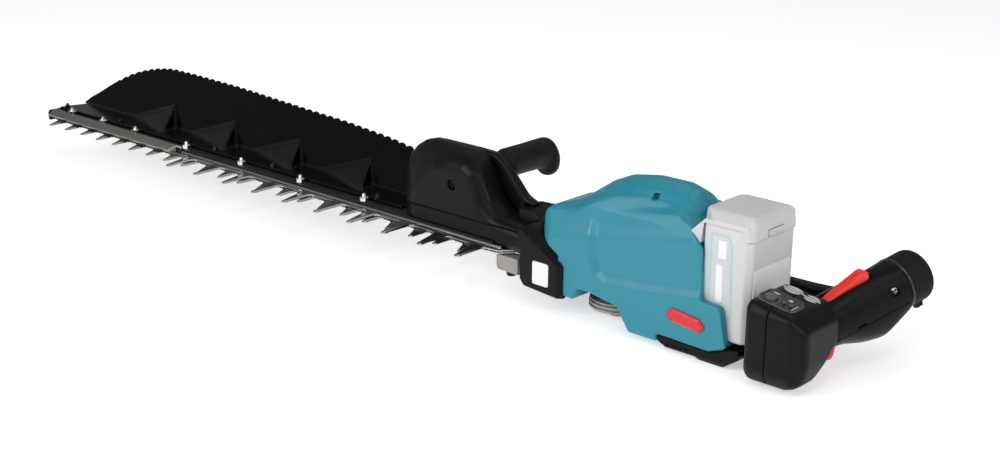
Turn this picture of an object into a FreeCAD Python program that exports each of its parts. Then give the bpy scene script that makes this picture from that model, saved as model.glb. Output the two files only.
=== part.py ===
# Single-sided battery hedge trimmer, as an assembly of separate pieces, in millimetres.
# Drawing frame: +X runs from the blade tip back to the grip, +Z is up, the cutting teeth face -Y, Y = 0 is
# the middle of the body and Z = 0 is the middle of the lower blade. Every piece is written in the part's own
# frame, whose origin is the middle of the foot's flat underside.
import FreeCAD
import Part
import math
import os

V = FreeCAD.Vector
AXIS_X, AXIS_Y, AXIS_Z = V(1, 0, 0), V(0, 1, 0), V(0, 0, 1)
ORIGIN = V(0, 0, 0)

# ---- driving dimensions ----
FOOT_X, REST_Z = 1020.0, -49.0            # middle of the foot pad, and the plane that the trimmer stands on

TOOTH_PITCH, LOWER_TEETH = 35.0, 22       # cutting teeth of the lower blade
LONG_PITCH, LONG_TEETH = 52.5, 10         # long comb teeth of the upper blade
LONG_FIRST_X = 274.4
LOWER_TIP_Y, UPPER_TIP_Y, ROOT_Y = -77.0, -93.7, -52.5
TOOTH_FRONT, TOOTH_BACK = 13.5, 2.0       # a tooth's root reaches this far before and behind its tip
BLADE_T = 2.1
LOWER_Z, UPPER_Z, BAR_Z, BAR_T = -0.9, 1.5, 3.9, 4.6
BAR_TOP = BAR_Z + BAR_T
STROKE = 8.5                              # each blade moves this far either way
BAR_X0, BAR_FRONT, BAR_BACK = -40.0, -50.0, -16.0
SPINE_BACK, BOLT_Y, BOLT_R = -22.0, -41.0, 3.0
BOLT_X = [0, 70, 140, 245, 350, 455, 560]
SCREW_X = [-28, 93, 287, 394, 570]

PLATE_X0, PLATE_X1 = -40.0, 611.0         # chip plate
PLATE_FRONT, PLATE_FOLD, PLATE_T, WALL_LEAN = -34.5, 4.0, 2.2, 59.5
SCALLOP = 10.0

CRANK_X, MOTOR_X = 880.0, 916.0           # vertical axes of the crank and the motor
MODULE, CRANK_TEETH, PINION_TEETH = 1.5, 36, 12
CAM_R = 10.0
CASE_WALL = 3.5

SHELL, BODY_HALF, DOME_HALF = 2.8, 45.5, 37.0
BATTERY = (999.6, 1053.6, -37.4, 37.4, -25.2, 72.0)
CAP_TOP = 94.0

FRONT_X, FRONT_Z, FRONT_Y0, FRONT_Y1 = 725.0, 74.0, -4.0, 76.0   # transverse front grip
FRONT_R, FRONT_CORE, FRONT_LIP = 15.6, 11.5, 8.0

BOX_Y0, BOX_Y1, BOX_WALL, BOX_SEAM = -66.0, -2.2, 3.0, 1090.0
BOX_X0, BOX_X1, BOX_CORNER = 1063.5, 1128.0, 9.0
BOX_CHAMFER = [(-24.0, -46.0), (-2.2, -31.0)]                # lower far edge, in (y, z)
GRIP_AT, GRIP_ALONG = V(1100, 10, -4), V(35, 108, 32)
GRIP_OVALS = [(-26, 23, 24, 0), (10, 23.5, 25.5, -0.5), (36, 24, 31, -5.5), (60, 24, 33.5, -8),
              (88, 25, 26, -1.5)]         # distance along the grip, half width, half height, middle
GRIP_WALL, GRIP_SPLIT, GRIP_END = 3.0, -8.0, 120.0


# ---- plain solids ----
def face_of(points):
    return Part.Face(Part.makePolygon(points + points[:1]))


def side_slab(outline, y0, y1):
    """A solid whose outline is given in (x, z)."""
    return face_of([V(x, y0, z) for x, z in outline]).extrude(V(0, y1 - y0, 0))


def plan_slab(outline, z0, z1):
    """A solid whose outline is given in (x, y)."""
    return face_of([V(x, y, z0) for x, y in outline]).extrude(V(0, 0, z1 - z0))


def cross_slab(outline, x0, x1):
    """A solid whose outline is given in (y, z)."""
    return face_of([V(x0, y, z) for y, z in outline]).extrude(V(x1 - x0, 0, 0))


def block(x0, x1, y0, y1, z0, z1):
    return Part.makeBox(x1 - x0, y1 - y0, z1 - z0, V(x0, y0, z0))


def rod(start, along, radius, length):
    return Part.makeCylinder(radius, length, start, along)


def ring(start, along, outer, inner, length):
    return rod(start, along, outer, length).cut(rod(start, along, inner, length))


def cone(start, along, r0, r1, length):
    return Part.makeCone(r0, r1, length, start, along)


def hexagon(x, y, z0, z1, across):
    radius = across / math.sqrt(3)
    angles = [math.radians(60 * k) for k in range(6)]
    return plan_slab([(x + radius * math.cos(a), y + radius * math.sin(a)) for a in angles], z0, z1)


def slot(x, y, z0, z1, length, width):
    """A round-ended slot along X, centred on (x, y)."""
    half = (length - width) / 2
    middle = block(x - half, x + half, y - width / 2, y + width / 2, z0, z1)
    ends = [rod(V(x + side * half, y, z0), AXIS_Z, width / 2, z1 - z0) for side in (-1, 1)]
    return middle.fuse(ends)


def inset(outline, depth):
    """The same closed outline with every edge moved inwards by depth."""
    area = sum(a[0] * b[1] - b[0] * a[1] for a, b in zip(outline, outline[1:] + outline[:1]))
    side = math.copysign(depth, area)
    lines = []
    for a, b in zip(outline, outline[1:] + outline[:1]):
        length = math.hypot(b[0] - a[0], b[1] - a[1])
        nx, ny = -(b[1] - a[1]) / length, (b[0] - a[0]) / length
        lines.append((nx, ny, nx * a[0] + ny * a[1] + side))
    points = []
    for p, q in zip(lines[-1:] + lines[:-1], lines):
        det = p[0] * q[1] - p[1] * q[0]
        points.append(((p[2] * q[1] - p[1] * q[2]) / det, (p[0] * q[2] - p[2] * q[0]) / det))
    return points


def ruled(sections):
    """A solid with flat or ruled sides through polygons of equal point counts."""
    wires = [Part.makePolygon(points + points[:1]) for points in sections]
    return Part.makeLoft(wires, True, True)


def rounded(shape, radius, chosen):
    """Fillets the edges that chosen accepts."""
    return shape.makeFillet(radius, [e for e in shape.Edges if chosen(e)])


def along(direction):
    """Accepts straight edges that run in this direction."""
    def chosen(edge):
        if edge.Curve.TypeId != "Part::GeomLine":
            return False
        return edge.Curve.Direction.cross(direction).Length < 0.01
    return chosen


def group(shapes):
    return Part.makeCompound(shapes)


# ---- blades ----
def tooth(x, tip_y, tip_half):
    """A pointed tooth with a blunted tip, from the root line out to tip_y. It leans towards the rear."""
    return [(x - TOOTH_FRONT, ROOT_Y), (x - tip_half, tip_y + 2.5), (x - 1.0, tip_y),
            (x + 1.0, tip_y), (x + tip_half, tip_y + 2.5), (x + TOOTH_BACK, ROOT_Y)]


def blade(tooth_points, z0, x0):
    """The toothed strip, its slots for the shoulder bolts and its cam window at the rear."""
    front = [(x0, SPINE_BACK), (x0, ROOT_Y)]
    tail = [(768, ROOT_Y), (780, -40), (822, -40), (846, -26), (915, -26), (915, 26), (846, 26),
            (806, -19), (778, SPINE_BACK)]
    strip = plan_slab(front + tooth_points + tail, z0, z0 + BLADE_T)
    window = block(CRANK_X - 27.5, CRANK_X + 27.5, -19.2, 19.2, z0 - 1, z0 + 4)
    slots = [slot(x, BOLT_Y, z0 - 1, z0 + 4, 2 * STROKE + 2 * BOLT_R + 1, 2 * BOLT_R + 0.6)
             for x in BOLT_X]
    return strip.cut([window] + slots)


def lower_blade():
    points = []
    for k in range(LOWER_TEETH):
        points += tooth(TOOTH_PITCH * k, LOWER_TIP_Y, 3.0)
    return blade(points, LOWER_Z, -24.0)


def upper_blade():
    points = []
    for k in range(LONG_TEETH):
        points += tooth(LONG_FIRST_X + LONG_PITCH * k, UPPER_TIP_Y, 3.4)
    return blade(points, UPPER_Z, -24.0)


def guide_bar():
    bar = block(BAR_X0, 791.9, BAR_FRONT, BAR_BACK, BAR_Z, BAR_TOP)
    holes = [rod(V(x, BOLT_Y, BAR_Z - 1), AXIS_Z, BOLT_R, BAR_T + 2) for x in BOLT_X]
    holes += [rod(V(x, -30, BAR_Z - 1), AXIS_Z, 2, BAR_T + 2) for x in SCREW_X]
    return bar.cut(holes + [block(755, 800, BAR_FRONT - 1, -44, 0, 10)])


def cover_strip():
    """A bent plain strip over the front edge of the bar, along the first quarter of its length."""
    section = [(-58, BAR_Z), (-58, 6.2), (-50.6, 12), (-48, 12), (-48, BAR_TOP), (BAR_FRONT, BAR_TOP),
               (BAR_FRONT, BAR_Z)]
    strip = cross_slab(section, -30, 245)
    slanted_end = plan_slab([(236, -49), (247, -49), (247, -60), (228, -60)], 0, 14)
    return strip.cut(slanted_end)


def bar_nose():
    """A rounded skid around the front end of the bar."""
    nose = plan_slab([(-46, -48), (-46, -24), (-42, -17), (-36, -16), (-30, -16), (-30, -54), (-38, -54)],
                     -3.0, 8.0)
    nose = rounded(nose, 3.0, along(AXIS_Z))
    return nose.cut([block(-41, 0, -50.1, -10, BAR_Z - 0.02, 9), block(-34, 0, -60, -10, -4, BAR_Z + 0.1),
                     block(-31, 0, -60, -50, 0, 9)])


def bar_bolts():
    bolts = []
    for x in BOLT_X:
        head = hexagon(x, BOLT_Y, BAR_TOP, BAR_TOP + 4.6, 9.5)
        stud = cone(V(x, BOLT_Y, BAR_TOP + 4.6), AXIS_Z, 2.6, 2.2, 4)
        shank = rod(V(x, BOLT_Y, -8.4), AXIS_Z, BOLT_R, BAR_TOP + 8.4)
        bolts.append(head.fuse([stud, shank]))
    return group(bolts)


def bar_nuts():
    nuts = []
    for x in BOLT_X:
        washer = rod(V(x, BOLT_Y, -2.6), AXIS_Z, 7, 1.3)
        nut = hexagon(x, BOLT_Y, -7.2, -2.6, 10)
        bore = rod(V(x, BOLT_Y, -9), AXIS_Z, BOLT_R, 10)
        nuts.append(washer.fuse(nut).cut(bore))
    return group(nuts)


def plate_screws():
    screws = []
    for x in SCREW_X:
        head = rod(V(x, -30, BAR_TOP + PLATE_T + 0.3), AXIS_Z, 3.4, 2.2)
        shank = rod(V(x, -30, BAR_Z), AXIS_Z, 2, BAR_T + PLATE_T + 0.3)
        screws.append(head.fuse(shank))
    return group(screws)


# ---- chip plate ----
def wall_edge():
    """Points (x, height up the wall) of the scalloped free edge, from the tip end to the guard."""
    shape = [(-20, 21), (0, 34), (30, 54), (63, 66), (89, 72), (115, 75), (155, 75), (246, 73), (375, 67),
             (450, 64), (523, 58.5), (PLATE_X1, 48)]
    points = []
    for (x0, h0), (x1, h1) in zip(shape, shape[1:]):
        steps = max(1, round(math.hypot(x1 - x0, h1 - h0) / (SCALLOP / 2)))
        for k in range(steps):
            t = k / steps
            points.append((x0 + t * (x1 - x0), h0 + t * (h1 - h0)))
    lobes = []
    for k, (x, h) in enumerate(points):
        lobes.append((x, h if k % 2 else h - 2.2))
    return lobes + [shape[-1]]


def chip_plate():
    """A floor on the bar, a leaning scalloped wall behind it, and gussets between the two."""
    lean = math.radians(WALL_LEAN)
    floor = cross_slab([(PLATE_FRONT, BAR_TOP), (PLATE_FRONT, BAR_TOP + PLATE_T),
                        (PLATE_FOLD - 1.2, BAR_TOP + PLATE_T + 1.2), (PLATE_FOLD + 2, BAR_TOP + 1.8),
                        (PLATE_FOLD, BAR_TOP)], PLATE_X0, PLATE_X1)
    edge = [(-40, 0)] + [(-35, 5), (-28, 12)] + wall_edge() + [(PLATE_X1, 0)]
    base = V(0, PLATE_FOLD, BAR_TOP + 1.2)
    up = V(0, math.cos(lean), math.sin(lean))
    thick = V(0, math.sin(lean), -math.cos(lean)) * PLATE_T
    wall = face_of([base + AXIS_X * x + up * h for x, h in edge]).extrude(thick)
    nose_cut = plan_slab([(-41, 20), (-41, -30), (-30, 6), (-30, 20)], 0, 30)
    plate = floor.cut(nose_cut).fuse(wall)
    for x in (160, 282, 403, 524):
        gusset = ruled([[V(x - 14, -20, BAR_TOP + PLATE_T - 0.3), V(x + 1, -20, BAR_TOP + PLATE_T - 0.3),
                         V(x - 6, -20, BAR_TOP + PLATE_T)],
                        [V(x - 22, 15, 10), V(x + 1, 15, 10), V(x - 10, 15, 33)]])
        plate = plate.fuse(gusset)
    return plate.cut([rod(V(x, -30, 0), AXIS_Z, 2, 20) for x in SCREW_X])


# ---- gear train ----
def gear_outline(x, teeth, phase):
    """Spur gear outline in (x, y) with involute flanks, stub teeth and running backlash."""
    pressure, backlash = math.radians(22), 0.22
    pitch = teeth * MODULE / 2
    base, tip, root = pitch * math.cos(pressure), pitch + 0.8 * MODULE, pitch - 1.1 * MODULE
    half = math.pi / (2 * teeth) - backlash / (2 * pitch)

    def half_angle(radius):
        turn = math.acos(min(1.0, base / radius))
        return half + math.tan(pressure) - pressure - math.tan(turn) + turn

    low = max(base, root)
    flank = [low + (tip - low) * k / 4 for k in range(5)]
    points = []
    for k in range(teeth):
        centre = 2 * math.pi * k / teeth + phase
        polar = [(root, -half_angle(low))] + [(r, -half_angle(r)) for r in flank]
        polar += [(r, half_angle(r)) for r in reversed(flank)] + [(root, half_angle(low))]
        if root >= base:
            polar = polar[1:-1]
        points += [(x + r * math.cos(centre + a), r * math.sin(centre + a)) for r, a in polar]
    return points


def crank_gear():
    gear = plan_slab(gear_outline(CRANK_X, CRANK_TEETH, math.pi / CRANK_TEETH), 8, 16)
    lightening = [rod(V(CRANK_X + 17 * math.cos(a), 17 * math.sin(a), 0), AXIS_Z, 3.5, 30)
                  for a in [math.radians(60 * k) for k in range(6)]]
    return gear.cut(lightening + [rod(V(CRANK_X, 0, 0), AXIS_Z, 6, 30)])


def crank_shaft():
    """Shaft with two opposed cams, one in the window of each blade."""
    shaft = rod(V(CRANK_X, 0, -28.5), AXIS_Z, 6, 50)
    lower_cam = rod(V(CRANK_X, -STROKE, LOWER_Z - 0.3), AXIS_Z, CAM_R, BLADE_T + 0.45)
    upper_cam = rod(V(CRANK_X, STROKE, UPPER_Z - 0.15), AXIS_Z, CAM_R, BLADE_T + 0.45)
    return shaft.fuse([lower_cam, upper_cam])


def bearings():
    """Two under and over the crank gear, and one at each end of the motor."""
    crank = [ring(V(CRANK_X, 0, z), AXIS_Z, 13, 6.05, 7) for z in (-29, 16.5)]
    motor = [ring(V(MOTOR_X, 0, z), AXIS_Z, 9, 4.05, 5) for z in (25.2, 84)]
    return group(crank + motor)


def case_outline():
    return [(792, -44), (842, -44), (852, -36), (934, -36), (934, 36), (836, 36), (792, -10)]


def gear_case():
    """Cast case around the crank, with a slot for the blades and seats for both bearings."""
    boss = rod(V(CRANK_X, 0, -32), AXIS_Z, 20, 21)
    case = plan_slab(case_outline(), -12, 25).fuse(boss)
    hollow = plan_slab(inset(case_outline(), CASE_WALL), -8, 21.5)
    seats = [rod(V(CRANK_X, 0, -29), AXIS_Z, 13, 25), rod(V(CRANK_X, 0, 16), AXIS_Z, 13, 7.5)]
    seat_wall = ring(V(CRANK_X, 0, 18.2), AXIS_Z, 16, 13, 4)
    blade_slot = block(780, 800, -41.2, -17.2, -1.7, 4.4)
    shaft_hole = rod(V(MOTOR_X, 0, 10), AXIS_Z, 6, 30)
    return case.cut(hollow).fuse(seat_wall).cut(seats + [blade_slot, shaft_hole])


def gear_case_nose():
    """Cast block under the rear end of the bar."""
    nose = side_slab([(763, -12), (763, -3), (765, -1.6), (791.9, -1.6), (791.9, -18), (766, -17)],
                     -51, -22)
    return rounded(nose, 2.0, along(AXIS_Z))


def drip_stub():
    return cone(V(772, -37, -26), AXIS_Z, 4.5, 6.5, 8.6)


def gear_cover():
    """Round ribbed cover that closes the gear case from below."""
    cover = rod(V(CRANK_X, 0, REST_Z), AXIS_Z, 29, 13.9)
    for outer in (26, 20, 14):
        cover = cover.cut(ring(V(CRANK_X, 0, REST_Z - 1), AXIS_Z, outer, outer - 2.5, 3.5))
    return cover.cut(ring(V(CRANK_X, 0, REST_Z + 5), AXIS_Z, 30, 26.5, 4))


def felt_seal():
    return ring(V(CRANK_X, 0, -14), AXIS_Z, 25, 20.1, 2)


# ---- motor ----
def motor_stator():
    core = ring(V(MOTOR_X, 0, 31), AXIS_Z, 26, 15.5, 40)
    slots = [rod(V(MOTOR_X + 20 * math.cos(a), 20 * math.sin(a), 30), AXIS_Z, 3.2, 42)
             for a in [math.radians(60 * k) for k in range(6)]]
    return core.cut(slots)


def motor_shaft():
    return rod(V(MOTOR_X, 0, 6.5), AXIS_Z, 4, 84)


def motor_pinion():
    pinion = plan_slab(gear_outline(MOTOR_X, PINION_TEETH, 0), 7.5, 16.5)
    return pinion.cut(rod(V(MOTOR_X, 0, 0), AXIS_Z, 4, 30))


def motor_rotor():
    return ring(V(MOTOR_X, 0, 31), AXIS_Z, 14.8, 4, 40)


def motor_fan():
    fan = ring(V(MOTOR_X, 0, 74), AXIS_Z, 24, 4, 2)
    for k in range(9):
        vane = block(8, 23, -0.8, 0.8, 75.9, 82)
        vane.rotate(ORIGIN, AXIS_Z, 40 * k)
        fan = fan.fuse(vane.translated(V(MOTOR_X, 0, 0)))
    return fan


def motor_frame():
    """Two spiders that hold the stator and the bearings inside the body."""
    spiders = []
    for z0, z1, hub0 in ((25.2, 30.8, 25.2), (84, 90, 84)):
        arm = block(MOTOR_X - 25, MOTOR_X + 25, -6, 6, z0, z1)
        hub = rod(V(MOTOR_X, 0, z0), AXIS_Z, 12, z1 - z0)
        bearing_seat = rod(V(MOTOR_X, 0, hub0), AXIS_Z, 9, 5)
        shaft_hole = rod(V(MOTOR_X, 0, 20), AXIS_Z, 5, 80)
        spiders.append(arm.fuse(hub).cut([bearing_seat, shaft_hole]))
    return group(spiders)


# ---- body ----
NOSE_BACK = 816
LOW_OUTLINE = [(800, 36), (822, 24), (844, 10), (844, -29), (858, -28), (864, -16), (912, -21), (927, -43),
               (959, -43), (1037, -31), (1029, 8), (1000, 8), (1000, 56), (984, 66), (940, 76), (880, 74),
               (846, 58), (826, 50)]
DOME_OUTLINE = [(806, 40), (840, 20), (978, 20), (984, 64), (984, 88), (975, 97), (960, 101),
                (935, 102), (905, 99), (883, 90), (865, 77), (846, 60), (826, 53)]


def body_solid(depth):
    """The body's outer form, or its cavity when depth is more than zero. In plan its nose is swept back."""
    low = side_slab(inset(LOW_OUTLINE, depth), depth - BODY_HALF, BODY_HALF - depth)
    nose = [(780, 0), (794 + depth, 0), (796 + depth, 12), (804 + depth, 32),
            (NOSE_BACK + depth, 46), (780, 46)]
    low = low.cut([plan_slab([(x, turn * y) for x, y in nose], 24 - depth, 80) for turn in (-1, 1)])
    dome = side_slab(inset(DOME_OUTLINE, depth), depth - DOME_HALF, DOME_HALF - depth)
    return low.fuse(dome)


def body_shells():
    shell = body_solid(0).cut(body_solid(SHELL))
    bay = block(BATTERY[0] - 0.4, 1070, BATTERY[2] - 0.5, BATTERY[3] + 0.5, BATTERY[4] - 0.4, 120)
    openings = [bay, plan_slab(case_outline(), -22, 25), rod(V(CRANK_X, 0, -60), AXIS_Z, 29.4, 50),
                block(790, 846, -41, 41, -27, 9), terminal_solid()]
    shell = shell.cut(openings)
    near = shell.common(block(700, 1100, -100, 0, -100, 200))
    far = shell.common(block(700, 1100, 0, 100, -100, 200))
    return near, far


def case_screws():
    """Long screws across the body, one in the guard's face and one in the rear grip."""
    places = [(856, 40), (968, 52), (935, -32), (852, -21)]
    screws = [rod(V(x, -BODY_HALF + SHELL, z), AXIS_Y, 2, 2 * (BODY_HALF - SHELL)) for x, z in places]
    head = rod(V(696, GUARD_FRONT - 0.8, 55), AXIS_Y, 5.5, 0.8)
    screws.append(head.fuse(rod(V(696, GUARD_FRONT, 55), AXIS_Y, 3, 32)))
    screws.append(on_grip(rod(V(21.5, *GRIP_SCREW), AXIS_X, 2.5, 3)))
    return group(screws)


def side_badge():
    """A plain six-sided raised badge, with nothing on it."""
    outline = [(976, -12), (982, -6), (1012, -10), (1018, -17), (1012, -23), (982, -19)]
    return side_slab(outline, -BODY_HALF - 1.0, -BODY_HALF)


def controller():
    return rounded(block(944, 990, -34, 34, -30, -2), 3, along(AXIS_Y))


def terminal_solid():
    return block(992, BATTERY[0] - 0.4, -22, 22, -16, 34)


def terminal_block():
    slots = [block(BATTERY[0] - 4, BATTERY[0] + 1, y - 1.2, y + 1.2, -8, 26) for y in (-15, -5, 5, 15)]
    return terminal_solid().cut(slots)


# ---- front end ----
def front_housing():
    """Chamfered housing around the gear case, with the neck that rises to the front grip."""
    low = side_slab([(790, -18), (797, -27), (843.8, -27), (843.8, 9.8), (822, 23.8), (799.8, 35.8),
                     (790, 31)], -51, 49)
    neck = side_slab([(780, 14), (776, 24), (768, 30), (768, 42), (793, 42), (799.7, 36),
                      (799.7, 14)], -25, 12)
    hollow = side_slab([(793, -15), (800, -23.5), (843.9, -23.5), (843.9, 6), (822, 20), (799, 32),
                        (793, 29)], -47.5, 45.5)
    housing = low.cut(hollow).fuse(neck)
    return housing.cut([plan_slab(case_outline(), -12, 25), block(750, 794, -50.5, -10, -19, 9.6)])


def blank_labels():
    """One on the side of the front housing and two on the control box's lid."""
    lid = [lid_plate(d, d + 10, -20, -8, 0, 0.5) for d in (8, 22)]
    return group([block(812, 831, -51.6, -51, -21, 3)] + lid)


FRONT_FACE = [(629, 8.5), (626, 26), (636, 46), (668, 78), (686, 82), (713, 82), (727, 77), (734, 60),
              (741, 44), (752, 33), (787, 28), (787, 8.5)]
REAR_RIM = [(612, 8.5), (610, 30), (613, 70), (627, 84), (645, 91), (703, 91), (720, 84), (731, 63),
            (742, 45), (756, 34), (787, 29), (787, 8.5)]
GUARD_FRONT, GUARD_BACK, GUARD_WALL, GUARD_SEAM = -46.0, -14.0, 3.4, 24.0


def guard_shell():
    """A cup that opens to the rear: a flat face towards the blades and a flared rim."""
    outer = ruled([[V(x, GUARD_FRONT, z) for x, z in FRONT_FACE], [V(x, GUARD_BACK, z) for x, z in REAR_RIM]])
    front, rear = inset(FRONT_FACE, GUARD_WALL), inset(REAR_RIM, GUARD_WALL)
    inner = ruled([[V(x, GUARD_FRONT + GUARD_WALL, z) for x, z in front],
                   [V(x, GUARD_BACK + 0.01, z) for x, z in rear]])
    return outer.cut([inner, block(766.5, 800, -26.5, 20, 0, 60)])


def hand_guard():
    upper = guard_shell().common(block(500, 900, -80, 20, GUARD_SEAM + 0.2, 200))
    return upper.cut(rod(V(696, GUARD_FRONT - 1, 55), AXIS_Y, 3, 10))


def guard_skirt():
    below_seam = guard_shell().common(block(500, 900, -80, 20, 0, GUARD_SEAM))
    return below_seam.cut(block(500, 900, -43, 20, 0, 11.9))


def guard_bracket():
    """Web that ties the guard, the front grip and the neck together."""
    outline = [(690, 88), (728, 88), (740, 79), (769, 50), (785, 42.2), (767.9, 42.2), (767.9, 29), (775, 24),
               (776, 12), (700, 11), (686, 50)]
    return rounded(side_slab(outline, GUARD_BACK, -4), 2.0, along(AXIS_Y))


def front_grip():
    length = FRONT_Y1 - FRONT_Y0
    lip_y = FRONT_Y1 - FRONT_LIP
    core = rod(V(FRONT_X, FRONT_Y0, FRONT_Z), AXIS_Y, FRONT_CORE, length - FRONT_LIP / 2)
    cover = ring(V(FRONT_X, FRONT_Y0, FRONT_Z), AXIS_Y, FRONT_R, FRONT_CORE, length - FRONT_LIP)
    lip = rod(V(FRONT_X, lip_y, FRONT_Z), AXIS_Y, FRONT_R + 1, FRONT_LIP)
    lip = lip.fuse(block(FRONT_X - 10, FRONT_X + 12, lip_y, FRONT_Y1, 48, 68))
    lip = lip.cut(rod(V(FRONT_X, lip_y - 2, FRONT_Z), AXIS_Y, FRONT_CORE, FRONT_LIP / 2 + 2))
    return core, cover, lip


# ---- rear end ----
def foot():
    outline = [(957, -43.1), (960, -46), (FOOT_X - 14, -46), (FOOT_X - 14, REST_Z), (FOOT_X + 14, REST_Z),
               (1050, -37), (1052, -28), (1037.2, -31.1), (959, -43.1)]
    bay = block(1030, 1070, BATTERY[2] - 0.5, BATTERY[3] + 0.5, BATTERY[4] - 0.4, 0)
    return side_slab(outline, -41, 41).cut(bay)


def bridge():
    """Neck between the foot and the control box."""
    outline = [(1050, -37), (1052, -28), (1052, -12), (1063.4, -12), (1063.4, -38), (1056, -40)]
    return side_slab(outline, -34, -6).cut(block(1030, 1054.4, -60, 60, BATTERY[4] - 0.4, 0))


BOX_OUTLINE = [(1063.5, -38), (1070, -46), (1108, -46), (1123, -37), (1128, -20), (1126, 12),
               (1112, 26), (1070, 33), (1063.5, 24)]
LID_SLOPE = math.atan2(-7.0, 42.0)
LID_NORMAL = V(-math.sin(LID_SLOPE), 0, math.cos(LID_SLOPE))


def on_lid(distance, y, lift):
    """A point on the box's sloping lid, this far along it from its front edge."""
    along_lid = V(math.cos(LID_SLOPE), 0, math.sin(LID_SLOPE))
    return V(1070, y, 33) + along_lid * distance + LID_NORMAL * lift


def far_chamfer(depth):
    """What the lower far edge of the box loses, with its flat moved inwards by depth."""
    (y0, z0), (y1, z1) = BOX_CHAMFER
    length = math.hypot(y1 - y0, z1 - z0)
    dy, dz = (y1 - y0) / length, (z1 - z0) / length
    start = (y0 - dz * depth - dy * 20, z0 + dy * depth - dz * 20)
    end = (y1 - dz * depth + dy * 20, z1 + dy * depth + dz * 20)
    return cross_slab([start, end, (end[0] + 10, start[1] - 30), (start[0], start[1] - 30)], 1000, 1200)


def box_solid(depth):
    box = side_slab(inset(BOX_OUTLINE, depth), BOX_Y0 + depth, BOX_Y1 - depth)
    cut = BOX_CORNER - depth * 0.6
    x0, x1 = BOX_X0 + depth, BOX_X1 - depth
    y0, y1 = BOX_Y0 + depth, BOX_Y1 - depth
    corners = [[(x0, y0 + cut), (x0 - 5, y0 - 5), (x0 + cut, y0)],
               [(x1 - cut, y0), (x1 + 5, y0 - 5), (x1, y0 + cut)],
               [(x1, y1 - cut), (x1 + 5, y1 + 5), (x1 - cut, y1)],
               [(x0 + cut, y1), (x0 - 5, y1 + 5), (x0, y1 - cut)]]
    return box.cut([plan_slab(c, -80, 80) for c in corners] + [far_chamfer(depth)])


def lid_hole(radius):
    return rod(on_lid(10, -44, -8), LID_NORMAL, radius, 12)


def control_box():
    shell = box_solid(0).cut(box_solid(BOX_WALL)).cut(lid_hole(6))
    front = shell.common(block(1000, BOX_SEAM, -100, 50, -80, 80))
    rear = shell.common(block(BOX_SEAM, 1200, -100, 50, -80, 80))
    return front, rear


def lid_plate(d0, d1, y0, y1, lift0, lift1):
    corners = [on_lid(d0, 0, lift0), on_lid(d1, 0, lift0), on_lid(d1, 0, lift1), on_lid(d0, 0, lift1)]
    return side_slab([(p.x, p.z) for p in corners], y0, y1)


def switch_panel():
    return lid_plate(2, 38, -56, -26, 0, 1.2).cut([lid_hole(6), lens_rod(24, 0), lens_rod(31, 0)])


def lens_rod(distance, lift):
    return rod(on_lid(distance, -44, lift), LID_NORMAL, 1.8, 1.8)


def panel_lenses():
    return group([lens_rod(24, 0), lens_rod(31, 0)])


def power_button():
    return rod(on_lid(10, -44, -5), LID_NORMAL, 5.6, 7.2)


def button_switch():
    return rod(on_lid(10, -44, -14), LID_NORMAL, 6, 6.5)


# ---- rear grip, drawn along its own axis ----
GRIP_U = V(GRIP_ALONG).normalize()
GRIP_W = (AXIS_Z - GRIP_U * GRIP_U.z).normalize()
GRIP_V = GRIP_U.cross(GRIP_W)


def on_grip(shape):
    """Moves a shape from the grip's frame: local Y runs along the grip, local Z is up."""
    matrix = FreeCAD.Matrix(GRIP_V.x, GRIP_U.x, GRIP_W.x, GRIP_AT.x, GRIP_V.y, GRIP_U.y, GRIP_W.y, GRIP_AT.y,
                            GRIP_V.z, GRIP_U.z, GRIP_W.z, GRIP_AT.z, 0, 0, 0, 1)
    return shape.transformed(matrix, True)


def grip_oval(y, half_width, half_height, middle, offset):
    points = []
    for k in range(12):
        a = math.radians(30 * k)
        side = (half_width + offset) * math.cos(a)
        points.append(V(side, y, middle + (half_height + offset) * math.sin(a)))
    curve = Part.BSplineCurve()
    curve.interpolate(Points=points, PeriodicFlag=True)
    return Part.Wire(curve.toShape())


def grip_solid(offset):
    """The grip's full belly-shaped form, drawn out from or in from its surface by offset."""
    ovals = [grip_oval(*oval, offset) for oval in GRIP_OVALS]
    return Part.makeLoft(ovals, True, False)


TRIGGER_PIVOT, LEVER_PIVOT, PIN_R = (29, -11.5), (11, 17), 2.0
TRIGGER_PIN_HALF, LEVER_PIN_HALF = 21.8, 14.5
GRIP_SCREW = (71, 8)


def pin_rod(pivot, radius, half):
    return rod(V(-half, pivot[0], pivot[1]), AXIS_X, radius, 2 * half)


def pivot_pins():
    return [pin_rod(TRIGGER_PIVOT, PIN_R, TRIGGER_PIN_HALF), pin_rod(LEVER_PIVOT, PIN_R, LEVER_PIN_HALF)]


def grip_pins():
    return on_grip(group(pivot_pins()))


def grip_shells():
    """Upper and lower halves, open above for the lever and below for the trigger."""
    end_wall = block(-40, 40, GRIP_OVALS[-1][0] - 4, 200, -60, 60)
    shell = grip_solid(0).cut(grip_solid(-GRIP_WALL).cut(end_wall))
    shell = shell.cut([block(-7, 7, -2, 60, 5, 45), block(-7, 7, -12, 15, -60, -8)] + pivot_pins())
    shell = shell.cut(rod(V(15, *GRIP_SCREW), AXIS_X, 2.55, 12))
    box_room = block(1000, 1200, -100, BOX_Y1, -100, 100)
    upper = on_grip(shell.common(block(-40, 40, -60, 120, GRIP_SPLIT, 60))).cut(box_room)
    lower = on_grip(shell.common(block(-40, 40, -60, 120, -60, GRIP_SPLIT))).cut(box_room)
    return upper, lower


def grip_ring():
    return on_grip(ring(V(0, 88.1, -0.5), AXIS_Y, 25.6, 18, 2))


def grip_end_cap():
    cap = rod(V(0, 90.2, -0.5), AXIS_Y, 25, GRIP_END - 90.2)
    cap = rounded(cap, 7, lambda e: e.BoundBox.YMin > GRIP_END - 5)
    tab = block(-4, 4, 102, 108, -29, -22)
    return on_grip(cap.fuse(tab))


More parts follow.
